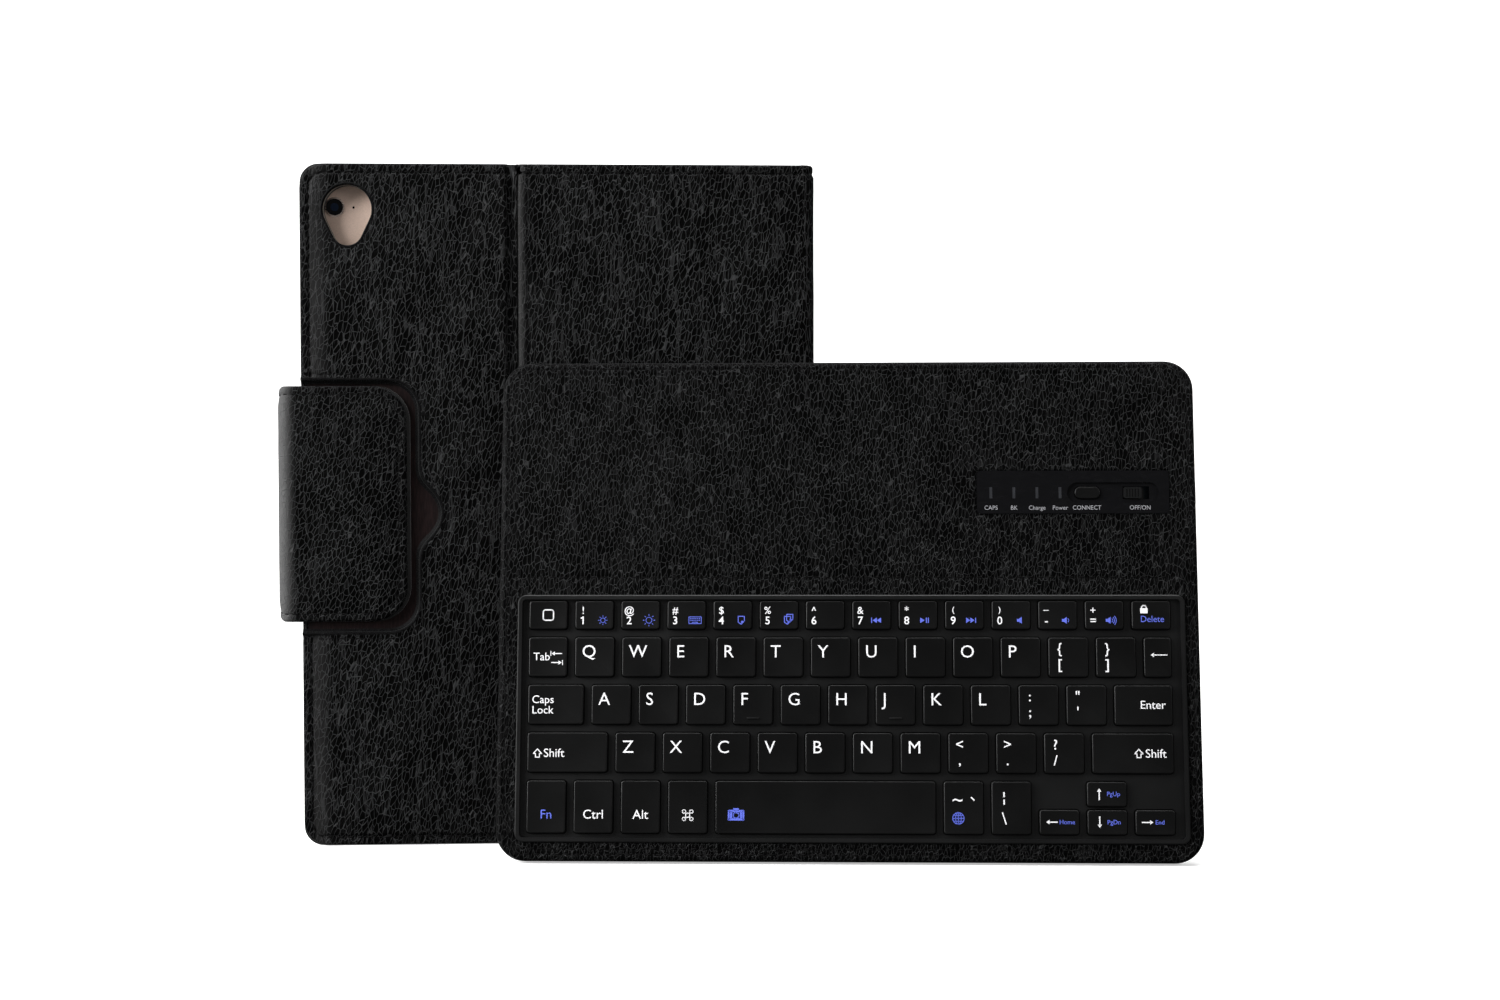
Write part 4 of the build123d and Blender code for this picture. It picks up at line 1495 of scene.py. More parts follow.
def soften(bm: Shape, width: float, steps: int = 2) -> None:
    """Round the edge of a block's upper face."""
    top = max(v.co.z for v in bm.verts)
    rim = [e for e in bm.edges if all(abs(v.co.z - top) < 1e-6 for v in e.verts)]
    bevel(bm, rim, width, steps)


def join(bm: Shape, other: Shape) -> None:
    """Move another shape's mesh into this one."""
    spare = bpy.data.meshes.new("spare")
    other.to_mesh(spare)
    other.free()
    bm.from_mesh(spare)
    bpy.data.meshes.remove(spare)


@dataclass(frozen=True)
class Cap:
    """One key cap: its place on the board and its size."""

    u: float
    v: float
    width: float
    height: float

    def shape(self, top: float, skirt: float) -> Shape:
        """The cap with a softened edge, a faint dish and its retaining flange.

        Args:
            top: How far it stands above the board's face.
            skirt: Depth of its flange.
        Returns:
            The cap in board millimetres.
        """
        right, high = self.u + self.width, self.v + self.height
        bm = slab(self.u, right, self.v, high, -skirt, top, 1.0)
        soften(bm, 0.4, 3)
        bm.faces.ensure_lookup_table()
        face = max(bm.faces, key=lambda f: (round(f.calc_center_median().z, 4), f.calc_area()))
        bmesh.ops.inset_region(bm, faces=[face], thickness=0.35)
        for vert in face.verts:
            vert.co.z = top - 0.05
        out = 0.45 if self.height < 10 else 0.7
        join(bm, slab(self.u - out, right + out, self.v - out, high + out, -skirt - 0.4, -skirt + 0.02, 1.2))
        return bm


@dataclass
class KeyLayout:
    """Where every cap is, by the body that carries it."""

    left: float = 11.1
    right: float = 239.5
    gap: float = 2.9
    row_h: float = 14.0
    letter: float = 13.95
    tab: float = 13.7
    caps: float = 19.8
    modifier: float = 13.85
    bottom: float = 10.0
    bottom_h: float = 18.4
    number_h: float = 10.1
    arrow_gap: float = 1.2

    def row(self, level: int) -> float:
        """Height of the bottom of a letter row, counted from the lowest."""
        return self.bottom + self.bottom_h + self.gap + level * (self.row_h + self.gap)

    def run(self, v: float, height: float, names: Sequence[tuple[str, float]]) -> dict[str, list[Cap]]:
        """Lay a row of caps from the left.

        Args:
            v: Bottom of the row.
            height: Height of its caps.
            names: Body and width of each cap.
        Returns:
            The caps by body.
        """
        laid: dict[str, list[Cap]] = {}
        u = self.left
        for name, width in names:
            laid.setdefault(name, []).append(Cap(u, v, width, height))
            u += width + self.gap
        return laid

    def all(self) -> dict[str, list[Cap]]:
        """Every cap, by body."""
        span = self.right - self.left
        number = (span - 13 * self.gap) / 14
        back = span - self.tab - 12 * self.letter - 13 * self.gap
        enter = span - self.caps - 11 * self.letter - 12 * self.gap
        shift = (span - 10 * self.letter - 11 * self.gap) / 2
        keys: dict[str, list[Cap]] = {}
        letter, tall = self.letter, self.row_h
        for level, height, left, middle, count, right in (
            (3, self.number_h, ("key_home", number), ("keys_number_row", number), 12, ("key_delete", number)),
            (2, tall, ("key_tab", self.tab), ("keys_upper_row", letter), 12, ("key_backspace", back)),
            (1, tall, ("key_caps", self.caps), ("keys_home_row", letter), 11, ("key_enter", enter)),
            (0, tall, ("key_shift_left", shift), ("keys_lower_row", letter), 10, ("key_shift_right", shift)),
        ):
            keys |= self.run(self.row(level), height, [left] + [middle] * count + [right])
        step = self.modifier + self.gap
        low, tall, wide = self.bottom, self.bottom_h, self.modifier
        short = (tall - self.arrow_gap) / 2
        for index, name in enumerate(("key_fn", "key_ctrl", "key_alt", "key_command")):
            keys[name] = [Cap(self.left + index * step, low, wide, tall)]
        space = self.left + 4 * step
        keys["key_space"] = [Cap(space, low, self.right - 5 * step - space, tall)]
        at = [self.right - wide - index * step for index in range(5)]
        keys["key_arrow_right"] = [Cap(at[0], low, wide, short)]
        keys["key_arrow_up"] = [Cap(at[1], low + short + self.arrow_gap, wide, short)]
        keys["key_arrow_down"] = [Cap(at[1], low, wide, short)]
        keys["key_arrow_left"] = [Cap(at[2], low, wide, short)]
        keys["key_backslash"] = [Cap(at[3], low, wide, tall)]
        keys["key_tilde"] = [Cap(at[4], low, wide, tall)]
        return keys


@dataclass
class Stamp:
    """A layer of printed marks of one ink on one body."""

    body: str
    ink: Finishes
    low: float
    high: float
    bm: Shape = field(default_factory=bmesh.new)

    def flat(self, points: Sequence[Pair]) -> None:
        """A filled outline.

        Args:
            points: Corners in order, anticlockwise.
        """
        mark = bmesh.new()
        corners = [mark.verts.new((x, y, self.low)) for x, y in points]
        face = mark.faces.new(corners)
        grown = bmesh.ops.extrude_face_region(mark, geom=[face])["geom"]
        bmesh.ops.translate(mark, vec=(0, 0, self.high - self.low), verts=vertices(grown))
        bmesh.ops.recalc_face_normals(mark, faces=mark.faces)
        join(self.bm, mark)

    def line(self, points: Sequence[Pair], width: float, closed: bool = False) -> None:
        """A stroke along points, one bar for each stretch."""
        pairs = list(zip(points, points[1:])) + ([(points[-1], points[0])] if closed else [])
        for a, b in pairs:
            run = Vector((b[0] - a[0], b[1] - a[1]))
            run.normalize()
            side = Vector((-run.y, run.x)) * width / 2
            on = run * width * 0.3
            start, stop = Vector(a) - on, Vector(b) + on
            ends = [start - side, stop - side, stop + side, start + side]
            self.flat([(e.x, e.y) for e in ends])

    def arc(
        self, x: float, y: float, radius: float, start: float, stop: float, width: float, steps: int = 8,
    ) -> None:
        """A stroke along an arc, angles in degrees."""
        self.line(Route.arc(x, y, radius, start, stop, steps + 1), width)

    def block(self, x0: float, x1: float, y0: float, y1: float) -> None:
        """A filled rectangle."""
        self.flat([(x0, y0), (x1, y0), (x1, y1), (x0, y1)])

    def text(
        self, words: str, x: float, y: float, cap: float,
        align: str = "LEFT", squeeze: float = 1.0, bold: float = 0.0,
    ) -> None:
        """A word.

        Args:
            words: What it says.
            x: Where it starts, ends or is centred.
            y: Its base line.
            cap: Height of its capitals.
            align: LEFT, CENTER or RIGHT.
            squeeze: Width against the usual.
            bold: How much the strokes are thickened.
        """
        curve = bpy.data.curves.new("words", "FONT")
        curve.body = words
        curve.size = cap / LETTER_SHARE
        curve.align_x = align
        curve.resolution_u = 3
        curve.offset = bold
        curve.extrude = (self.high - self.low) / 2
        holder = bpy.data.objects.new("words", curve)
        mesh = bpy.data.meshes.new_from_object(holder)
        mark = bmesh.new()
        mark.from_mesh(mesh)
        bmesh.ops.remove_doubles(mark, verts=mark.verts, dist=0.0005)
        bmesh.ops.scale(mark, vec=(squeeze, 1, 1), verts=mark.verts)
        bmesh.ops.translate(mark, vec=(x, y, (self.low + self.high) / 2), verts=mark.verts)
        join(self.bm, mark)
        bpy.data.meshes.remove(mesh)
        bpy.data.objects.remove(holder)
        bpy.data.curves.remove(curve)

    def done(self, name: str, slot: str) -> None:
        """Turn the marks into a piece."""
        mount(piece(self.bm, name, CASE.board(), self.ink, 30), self.body, slot)


@dataclass
class Icons:
    """Small drawings that stand for a key's second job."""

    ink: Stamp

    def at(self, x: float, y: float, points: Sequence[Pair]) -> list[Pair]:
        """Points of a drawing, moved to its place."""
        return [(x + a, y + b) for a, b in points]

    def ring(self, x: float, y: float, points: Sequence[Pair], width: float) -> None:
        """A closed stroke along a drawing's points."""
        self.ink.line(self.at(x, y, points), width, True)

    def sun(self, x: float, y: float, size: float) -> None:
        """A ring with eight rays."""
        self.ink.arc(x, y, size * 0.26, 0, 360, 0.2, 12)
        for turn in range(0, 360, 45):
            c, s = math.cos(math.radians(turn)), math.sin(math.radians(turn))
            self.ink.line([(x + c * size * r, y + s * size * r) for r in (0.4, 0.5)], 0.22)

    def board(self, x: float, y: float) -> None:
        """A tiny keyboard."""
        self.ring(x, y, ((-2.2, -1.2), (2.2, -1.2), (2.2, 1.2), (-2.2, 1.2)), 0.22)
        for row in (0.45, -0.2):
            for column in range(5):
                left = x - 1.7 + column * 0.75
                self.ink.block(left, left + 0.4, y + row - 0.02, y + row + 0.35)
        self.ink.block(x - 1.0, x + 1.0, y - 0.85, y - 0.6)

    def page(self, x: float, y: float) -> None:
        """A sheet with a turned corner."""
        self.ring(x, y, ((-1.1, 1.4), (1.1, 1.4), (1.1, -0.3), (0, -1.4), (-1.1, -0.7)), 0.3)
        self.ink.flat(self.at(x, y, ((0, -1.4), (1.1, -0.3), (0, -0.2))))

    def speaker(self, x: float, y: float, waves: int) -> None:
        """A loudspeaker with sound waves."""
        cone = ((-1.0, -0.5), (-0.3, -0.5), (0.7, -1.2), (0.7, 1.2), (-0.3, 0.5), (-1.0, 0.5))
        self.ink.flat(self.at(x, y, cone))
        for wave in range(waves):
            self.ink.arc(x + 0.5, y, 0.9 + wave * 0.65, -42, 42, 0.26, 5)

    def skip(self, x: float, y: float, way: int) -> None:
        """Two arrowheads against a bar."""
        for start in (-0.1, -1.6):
            tip, tail = x + way * (start + 1.5), x + way * start
            points = [(tail, y - 0.95), (tip, y), (tail, y + 0.95)]
            self.ink.flat(points if way > 0 else points[::-1])
        bar = x + way * 1.75
        self.ink.block(bar - 0.15, bar + 0.15, y - 0.95, y + 0.95)

    def play(self, x: float, y: float) -> None:
        """An arrowhead and two bars."""
        self.ink.flat([(x - 1.7, y - 0.95), (x - 0.1, y), (x - 1.7, y + 0.95)])
        for bar in (0.5, 1.2):
            self.ink.block(x + bar - 0.17, x + bar + 0.17, y - 0.95, y + 0.95)

    def lock(self, x: float, y: float) -> None:
        """A padlock."""
        self.ink.block(x - 1.3, x + 1.3, y - 1.6, y + 0.2)
        self.ink.arc(x, y + 0.3, 0.85, 0, 180, 0.42, 8)

    def camera(self, x: float, y: float) -> None:
        """A camera with a pale ring."""
        self.ring(x, y, ((-2.5, -1.6), (2.5, -1.6), (2.5, 1.3), (-2.5, 1.3)), 0.8)
        self.ink.arc(x, y - 0.15, 1.0, 0, 360, 0.42, 14)
        for side in (-1, 1):
            self.ink.block(x + side * 1.85 - 0.5, x + side * 1.85 + 0.5, y - 1.4, y + 1.2)
        self.ink.block(x - 1.0, x + 1.0, y + 1.4, y + 2.3)

    def globe(self, x: float, y: float, radius: float) -> None:
        """A globe of rings."""
        self.ink.arc(x, y, radius, 0, 360, 0.3, 20)
        self.ink.line([(x - radius, y), (x + radius, y)], 0.24)
        self.ink.line([(x, y - radius), (x, y + radius)], 0.24)
        half = radius * 0.85
        for level in (-0.5, 0.5):
            self.ink.line([(x - half, y + radius * level), (x + half, y + radius * level)], 0.24)
        for side in (-1, 1):
            turns = np.radians(np.linspace(-90, 90, 9))
            bow = [(x + side * radius * 0.5 * math.cos(t), y + radius * math.sin(t)) for t in turns]
            self.ink.line(bow, 0.24)

    def arrow(self, x: float, y: float, length: float, turn: float, width: float = 0.35) -> None:
        """An arrow that points along a direction, centred on a place."""
        c, s = math.cos(math.radians(turn)), math.sin(math.radians(turn))
        tip, tail = length / 2, -length / 2
        head = [(tip, 0.0), (tip - 1.15, 0.75), (tip - 1.15, -0.75)]
        self.ink.line([(x + c * tail, y + s * tail), (x + c * (tip - 0.9), y + s * (tip - 0.9))], width)
        self.ink.flat([(x + c * a - s * b, y + s * a + c * b) for a, b in head])

    def shift(self, x: float, y: float) -> None:
        """A hollow upward arrow."""
        outline = ((-0.7, -1.3), (0.7, -1.3), (0.7, 0), (1.5, 0), (0, 1.6), (-1.5, 0), (-0.7, 0))
        self.ring(x, y, outline, 0.34)

    def loops(self, x: float, y: float) -> None:
        """A square with a ring at each corner."""
        for sx in (-1, 1):
            for sy in (-1, 1):
                self.ink.arc(x + sx * 1.3, y + sy * 1.3, 0.6, 0, 360, 0.32, 10)
        self.ring(x, y, ((-0.7, -0.7), (0.7, -0.7), (0.7, 0.7), (-0.7, 0.7)), 0.32)


@dataclass
class Keys:
    """The caps and what is printed on them."""

    top: float = 0.4
    skirt: float = 1.9
    layout: KeyLayout = field(default_factory=KeyLayout)
    stamps: dict[tuple[str, Finishes], Stamp] = field(default_factory=dict)

    def on(self, body: str, ink: Finishes = Finishes.WHITE_INK) -> Stamp:
        """The layer of an ink on a body, begun on its first use."""
        if (body, ink) not in self.stamps:
            self.stamps[body, ink] = Stamp(body, ink, self.top - 0.12, self.top + 0.012)
        return self.stamps[body, ink]

    def letters(self, body: str, caps: Sequence[Cap], signs: Sequence[str]) -> None:
        """Print a letter, or an upper and a lower sign, on each cap of a row.

        Args:
            body: Body of the row.
            caps: Its caps.
            signs: One letter or two signs for each cap.
        """
        ink = self.on(body)
        for cap, sign in zip(caps, signs):
            if len(sign) == 1:
                ink.text(sign, cap.u + 2.4, cap.v + 6.9, 4.3, bold=-0.01)
            else:
                upper, lower = sign
                ink.text(upper, cap.u + 3.9, cap.v + 8.4, 3.4, "CENTER", bold=0.03)
                ink.text(lower, cap.u + 3.9, cap.v + 2.9, 3.4, "CENTER", bold=0.03)

    def numbers(self, caps: Sequence[Cap]) -> None:
        """Print the number row with its media icons."""
        ink = self.on("keys_number_row")
        blue = Icons(self.on("keys_number_row", Finishes.BLUE_INK))
        for cap, pair in zip(caps, ("!1", "@2", "#3", "$4", "%5", "^6", "&7", "*8", "(9", ")0", "_-", "+=")):
            low = 1.0 if pair == "_-" else 0.0
            bent = pair[0] in "()"
            level, size = (6.1, 1.9) if bent else (5.5, 2.5)
            ink.text(pair[0], cap.u + 2.8, cap.v + level + low * 1.6, size, "CENTER", bold=0.02)
            ink.text(pair[1], cap.u + 2.8, cap.v + 1.8, 2.7, "CENTER", bold=0.04)
            if pair[1] == "1":
                ink.line([(cap.u + 2.1, cap.v + 3.9), (cap.u + 2.7, cap.v + 4.3)], 0.42)
        spots = [(cap.u + 9.9, cap.v + 3.2) for cap in caps]
        blue.sun(*spots[0], 3.2)
        blue.sun(*spots[1], 4.2)
        blue.board(*spots[2])
        blue.page(*spots[3])
        blue.page(*spots[4])
        blue.page(spots[4][0] + 0.8, spots[4][1] + 0.7)
        blue.skip(spots[6][0] - 1.3, spots[6][1], -1)
        blue.play(spots[7][0] - 0.6, spots[7][1])
        blue.skip(spots[8][0] - 0.9, spots[8][1], 1)
        blue.speaker(*spots[9], 0)
        blue.speaker(spots[10][0] - 0.6, spots[10][1], 1)
        blue.speaker(spots[11][0] - 1.6, spots[11][1], 3)

    def words(self, caps: dict[str, list[Cap]]) -> None:
        """Print the keys that carry a word or a drawing."""
        first = {name: group[0] for name, group in caps.items()}
        k = first["key_home"]
        x, y = k.u + k.width / 2, k.v + k.height / 2
        ring: list[Pair] = []
        for start, sx, sy in ((180, -1, -1), (270, 1, -1), (0, 1, 1), (90, -1, 1)):
            ring += Route.arc(x + sx * 1.0, y + sy * 1.0, 0.85, start, start + 90, 5)
        self.on("key_home").line(ring, 0.45, True)
        k = first["key_delete"]
        Icons(self.on("key_delete")).lock(k.u + 4.3, k.v + 7.3)
        blue = self.on("key_delete", Finishes.BLUE_INK)
        blue.text("Delete", k.u + 7.2, k.v + 2.6, 2.2, "CENTER", 0.96, -0.01)
        k = first["key_tab"]
        self.on("key_tab").text("Tab", k.u + 1.6, k.v + 5.8, 2.7)
        for turn, level in ((180, 8.6), (0, 5.4)):
            Icons(self.on("key_tab")).arrow(k.u + 10.0, k.v + level - 0.4, 3.6, turn)
            bar = k.u + (7.9 if turn else 12.1)
            self.on("key_tab").block(bar - 0.14, bar + 0.14, k.v + level - 1.3, k.v + level + 0.5)
        k = first["key_caps"]
        self.on("key_caps").text("Caps", k.u + 1.3, k.v + 7.5, 2.7)
        self.on("key_caps").text("Lock", k.u + 1.3, k.v + 3.8, 2.7)
        k = first["key_shift_left"]
        Icons(self.on("key_shift_left")).shift(k.u + 3.6, k.v + 6.6)
        self.on("key_shift_left").text("Shift", k.u + 5.7, k.v + 5.4, 2.9)
        k = first["key_shift_right"]
        Icons(self.on("key_shift_right")).shift(k.u + k.width - 12.2, k.v + 6.9)
        self.on("key_shift_right").text("Shift", k.u + k.width - 2.5, k.v + 5.6, 2.9, "RIGHT")
        k = first["key_enter"]
        self.on("key_enter").text("Enter", k.u + k.width - 2.4, k.v + 5.8, 2.8, "RIGHT")
        k = first["key_backspace"]
        Icons(self.on("key_backspace")).arrow(k.u + k.width / 2 + 0.4, k.v + k.height * 0.56, 5.8, 180)
        for name, word, ink in (
            ("key_fn", "Fn", Finishes.BLUE_INK),
            ("key_ctrl", "Ctrl", Finishes.WHITE_INK),
            ("key_alt", "Alt", Finishes.WHITE_INK),
        ):
            k = first[name]
            self.on(name, ink).text(word, k.u + k.width / 2, k.v + 5.1, 3.1, "CENTER")
        k = first["key_command"]
        Icons(self.on("key_command")).loops(k.u + k.width / 2, k.v + 6.4)
        k = first["key_space"]
        Icons(self.on("key_space", Finishes.BLUE_INK)).camera(k.u + 7.3, k.v + 6.6)
        k = first["key_tilde"]
        self.on("key_tilde").text("~", k.u + 4.8, k.v + 10.2, 4.4, "CENTER")
        self.on("key_tilde").line([(k.u + 9.6, k.v + 12.9), (k.u + 10.6, k.v + 11.9)], 0.45)
        Icons(self.on("key_tilde", Finishes.BLUE_INK)).globe(k.u + 5.0, k.v + 5.6, 2.0)
        k = first["key_backslash"]
        for low, high in ((10.4, 12.2), (13.0, 14.8)):
            self.on("key_backslash").block(k.u + 4.1, k.u + 4.6, k.v + low, k.v + high)
        self.on("key_backslash").line([(k.u + 3.7, k.v + 7.6), (k.u + 5.0, k.v + 3.6)], 0.42)
        for name, word, turn in (
            ("key_arrow_left", "Home", 180), ("key_arrow_up", "PgUp", 90),
            ("key_arrow_down", "PgDn", 270), ("key_arrow_right", "End", 0),
        ):
            k = first[name]
            Icons(self.on(name)).arrow(k.u + 4.2, k.v + 4.4, 3.9, turn, 0.4)
            self.on(name, Finishes.BLUE_INK).text(word, k.u + 6.8, k.v + 3.7, 1.5)

    def bars(self, caps: Sequence[Cap]) -> None:
        """Raised bars for the resting fingers."""
        bm = bmesh.new()
        for cap in (caps[3], caps[6]):
            place = (cap.u + 4.8, cap.u + 9.2, cap.v + 2.0, cap.v + 2.6)
            bar = slab(*place, self.top - 0.2, self.top + 0.28, 0.28, 3)
            soften(bar, 0.12)
            join(bm, bar)
        mount(piece(bm, "finger_bars", CASE.board(), Finishes.FRAME), "keys_home_row", "key_plastic")

    def build(self) -> None:
        """Make the caps and print them."""
        caps = self.layout.all()
        for name, group in caps.items():
            bm = bmesh.new()
            for cap in group:
                join(bm, cap.shape(self.top, self.skirt))
            mount(piece(bm, name + "_cap", CASE.board(), Finishes.KEY, 32), name, "key_plastic", name)
        self.bars(caps["keys_home_row"])
        self.letters("keys_upper_row", caps["keys_upper_row"], list("QWERTYUIOP") + ["{[", "}]"])
        self.letters("keys_home_row", caps["keys_home_row"], list("ASDFGHJKL") + [":;", "\"'"])
        self.letters("keys_lower_row", caps["keys_lower_row"], list("ZXCVBNM") + ["<,", ">.", "?/"])
        self.numbers(caps["keys_number_row"])
        self.words(caps)
        for (body, ink), stamp in self.stamps.items():
            stamp.done(f"{body}_{'blue' if ink is Finishes.BLUE_INK else 'white'}", "key_plastic")


@dataclass
class Board:
    """Leather-covered keyboard: skins, seams and the control panel's marks."""

    width: float = 250.0
    height: float = 179.0
    corner: float = 10.5
    thickness: float = 6.4
    frame_box: Quad = (6.9, 244.8, 6.8, 94.3)
    panel_box: Quad = (171.5, 240.2, 123.4, 138.9)
    seam_y: float = 100.6
    seam_in: float = 2.6
    inner_in: float = 4.6
    first_light: float = 176.6
    light_pitch: float = 8.23
    label_y: float = 124.8
    label_cap: float = 1.5
    seam: Seam = field(default_factory=Seam)
    keys: Keys = field(default_factory=Keys)

    def grid(self, step: float, fine: bool) -> Shape:
        """Flat grid of the board's outline."""
        edge = [(0.0, 6.6, 0.4)] if fine else [(0.0, 3.0, 0.4)]
        far = 6.6 if fine else 3.0
        across = edge + [(self.width - far, self.width, 0.4)]
        up = edge + [(self.height - far, self.height, 0.4)] + ([(94.0, 102.0, 0.5)] if fine else [])
        bm = lattice(spaced(0, self.width, step, across), spaced(0, self.height, step, up))
        for x, inward in ((0.0, 1), (self.width, -1)):
            round_side(bm, x, inward, 0.0, self.height, self.corner)
        return bm

    def face(self) -> None:
        """Leather of the face, wrapped over the sides."""
        bm = self.grid(1.3, True)
        free = box_outline(0, self.width, 0, self.height, self.corner)
        frame_gap = box_outline(*self.frame_box, 3.0)
        panel_gap = box_outline(*self.panel_box, 1.5)

        def depth(x: np.ndarray, y: np.ndarray) -> np.ndarray:
            """Relief of the face."""
            inside, beside, near = -free(x, y), frame_gap(x, y), panel_gap(x, y)
            sunk = 0.06 * (1 + ruffle(x, y, 20.0, 26.0, 31.0)) + 0.03 * (1 + ruffle(x, y, 5.0, 6.0, 32.0))
            sunk += 0.95 * rolled(inside, 2.2)
            sunk += 0.26 * groove(inside, self.seam_in, 0.35) + 0.2 * groove(inside, self.inner_in, 0.4)
            below = smooth(100.0, 95.0, y)
            sunk += below * 0.12 * (1 + ruffle(x, y, 0.9, 0.9, 33.0)) * smooth(0.5, 1.5, inside)
            across = smooth(4.0, 8.0, inside)
            sunk += 0.3 * groove(y, self.seam_y, 0.7) * across - 0.1 * groove(y, 97.8, 1.4) * across
            sunk += 0.3 * rolled(np.maximum(beside, 0), 0.8) + 0.25 * rolled(np.maximum(near, 0), 0.9)
            return sunk
        emboss(bm, depth)
        back_up(bm, 5.5, 0.9, 0.9)
        made = piece(bm, "board_leather", CASE.board(), Finishes.BOARD)
        for box_, radius in ((self.frame_box, 3.0), (self.panel_box, 1.5)):
            tool = piece(slab(*box_, -3.0, 2.0, radius), "cutter", CASE.board(), Finishes.BOARD)
            cut(made, tool)
        mount(made, "keyboard", "leather_black", "board_top_skin")

    def base(self) -> None:
        """Leather of the underside."""
        bm = self.grid(2.5, False)
        free = box_outline(0, self.width, 0, self.height, self.corner)
        emboss(bm, lambda x, y: 0.45 * rolled(-free(x, y), 1.1) + 0.03 * (1 + ruffle(x, y, 12.0, 12.0, 41.0)))
        back_up(bm, 0.9, 0.0, 0.0)
        turn = Matrix(((-1, 0, 0, self.width), (0, 1, 0, 0), (0, 0, -1, -self.thickness), (0, 0, 0, 1)))
        made = piece(bm, "board_base_leather", CASE.board() @ turn, Finishes.BOARD)
        mount(made, "keyboard", "leather_black", "board_base_skin")

    def loop(self, inset: float, high: float, height: float) -> list[Triple]:
        """Seam line from the left side round the bottom, and all the way round if it starts half way up.

        Args:
            inset: Distance from the edge.
            high: Where the line starts on the left side.
            height: Height of the thread out of the face.
        Returns:
            Points of the line.
        """
        turn = self.corner - inset
        left, right = self.corner, self.width - self.corner
        low, top = self.corner, self.height - self.corner
        line = [(inset, high)] + Route.arc(left, low, turn, 180, 270, 10)
        line += Route.arc(right, low, turn, 270, 360, 10) + [(self.width - inset, high)]
        if high >= self.height / 2:
            line.append((self.width - inset, top))
            line += Route.arc(right, top, turn, 0, 90, 10) + Route.arc(left, top, turn, 90, 180, 10)
            line.append((inset, high))
        return raised(line, height)

    def stitches(self) -> None:
        """Thread round the edge and beside the keys."""
        across = raised([(self.corner, self.seam_y), (self.width - self.corner, self.seam_y)], -0.34)
        rows = (
            ("board_stitches", (self.loop(self.seam_in, self.height / 2, -0.36), across)),
            ("board_inner_stitches", (self.loop(self.inner_in, 88.0, -0.3),)),
        )
        for name, lines in rows:
            bm = bmesh.new()
            for line in lines:
                self.seam.sew(bm, line)
            mount(piece(bm, name, CASE.board(), Finishes.THREAD, 60), "keyboard", "leather_black")

    def labels(self) -> None:
        """Marks on the control panel."""
        marks = Stamp("keyboard", Finishes.GREY_INK, 0.02, 0.112)
        lights = [self.first_light + self.light_pitch * index for index in range(4)]
        for word, x in zip(("CAPS", "BK", "Charge", "Power", "CONNECT", "OFF/ON"), lights + [210.8, 229.8]):
            marks.text(word, x, self.label_y, self.label_cap, "CENTER", 0.95)
        marks.done("panel_labels", "panel_gloss")

    def build(self) -> None:
        """Make the keyboard."""
        self.face()
        self.base()
        self.stitches()
        self.labels()
        self.keys.build()


# ---------------------------------------------------------------- carried-over parts

@dataclass(frozen=True)
class Carried:
    """CAD parts that keep their shape, by finish."""

    groups: tuple[tuple[Finishes, tuple[str, ...]], ...] = (
        (Finishes.LINING, ("stand_lining", "holder_lining", "cover_lining", "flap_lining", "spine_board")),
        (Finishes.STIFFENER, ("stand_board", "holder_board", "cover_board")),
        (Finishes.TRAY, ("tablet_tray",)),
        (Finishes.GLUE, ("tray_adhesive",)),
        (Finishes.STEEL, ("seat_keeper", "dock_plate", "charge_port")),
        (Finishes.NICKEL, ("dock_magnets", "flap_magnets")),
        (Finishes.HOUSING, ("board_housing",)),
        (Finishes.FRAME, ("key_frame",)),
        (Finishes.SILICONE, ("dome_sheet",)),
        (Finishes.CIRCUIT, ("circuit_board",)),
        (Finishes.FOIL, ("battery",)),
        (Finishes.CONTROL, ("control_panel",)),
        (Finishes.GUIDE, ("light_guides",)),
        (Finishes.KEY, ("connect_button",)),
        (Finishes.SLIDER, ("power_switch",)),
    )

    def dress(self) -> None:
        """Give each part its finish."""
        for finish, names in self.groups:
            for name in names:
                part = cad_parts[name]
                part.data.materials.clear()
                part.data.materials.append(finish.material())
                LOG.info("%s: %s", name, finish.value.name)


@dataclass
class DisplayBlank:
    """Plain slab that fills the tray for display only."""

    sunk: float = 4.5

    def build(self) -> None:
        """Make the slab with its lens."""
        space = CASE.back() @ Matrix.Translation((0, 0, -self.sunk))
        blocks = (
            ("", Finishes.BLANK, (3.5, 172.6, 6.2, 245.8, -6.0, 0.0, 8.0, 8), (0.8, 4)),
            ("_screen", Finishes.BLANK_LENS, (5.5, 170.6, 8.2, 243.8, -6.2, -5.9, 6.0, 6), ()),
            ("_rim", Finishes.BLANK_RIM, (8.7, 16.1, 232.6, 240.0, -0.4, 0.25, 3.68, 8), (0.15, 2)),
            ("_lens", Finishes.BLANK_LENS, (9.3, 15.5, 233.2, 239.4, -0.4, 0.3, 3.08, 8), ()),
            ("_pupil", Finishes.BLANK_PUPIL, (10.9, 13.9, 234.8, 237.8, 0.2, 0.33, 1.48, 8), ()),
            ("_dot", Finishes.BLANK_LENS, (18.85, 19.75, 235.75, 236.65, -0.4, 0.02, 0.44, 4), ()),
        )
        for suffix, finish, block, edge in blocks:
            bm = slab(*block)
            if edge:
                soften(bm, *edge)
            made = piece(bm, "display_blank" + suffix, space, finish)
            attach(made, "holder_panel")


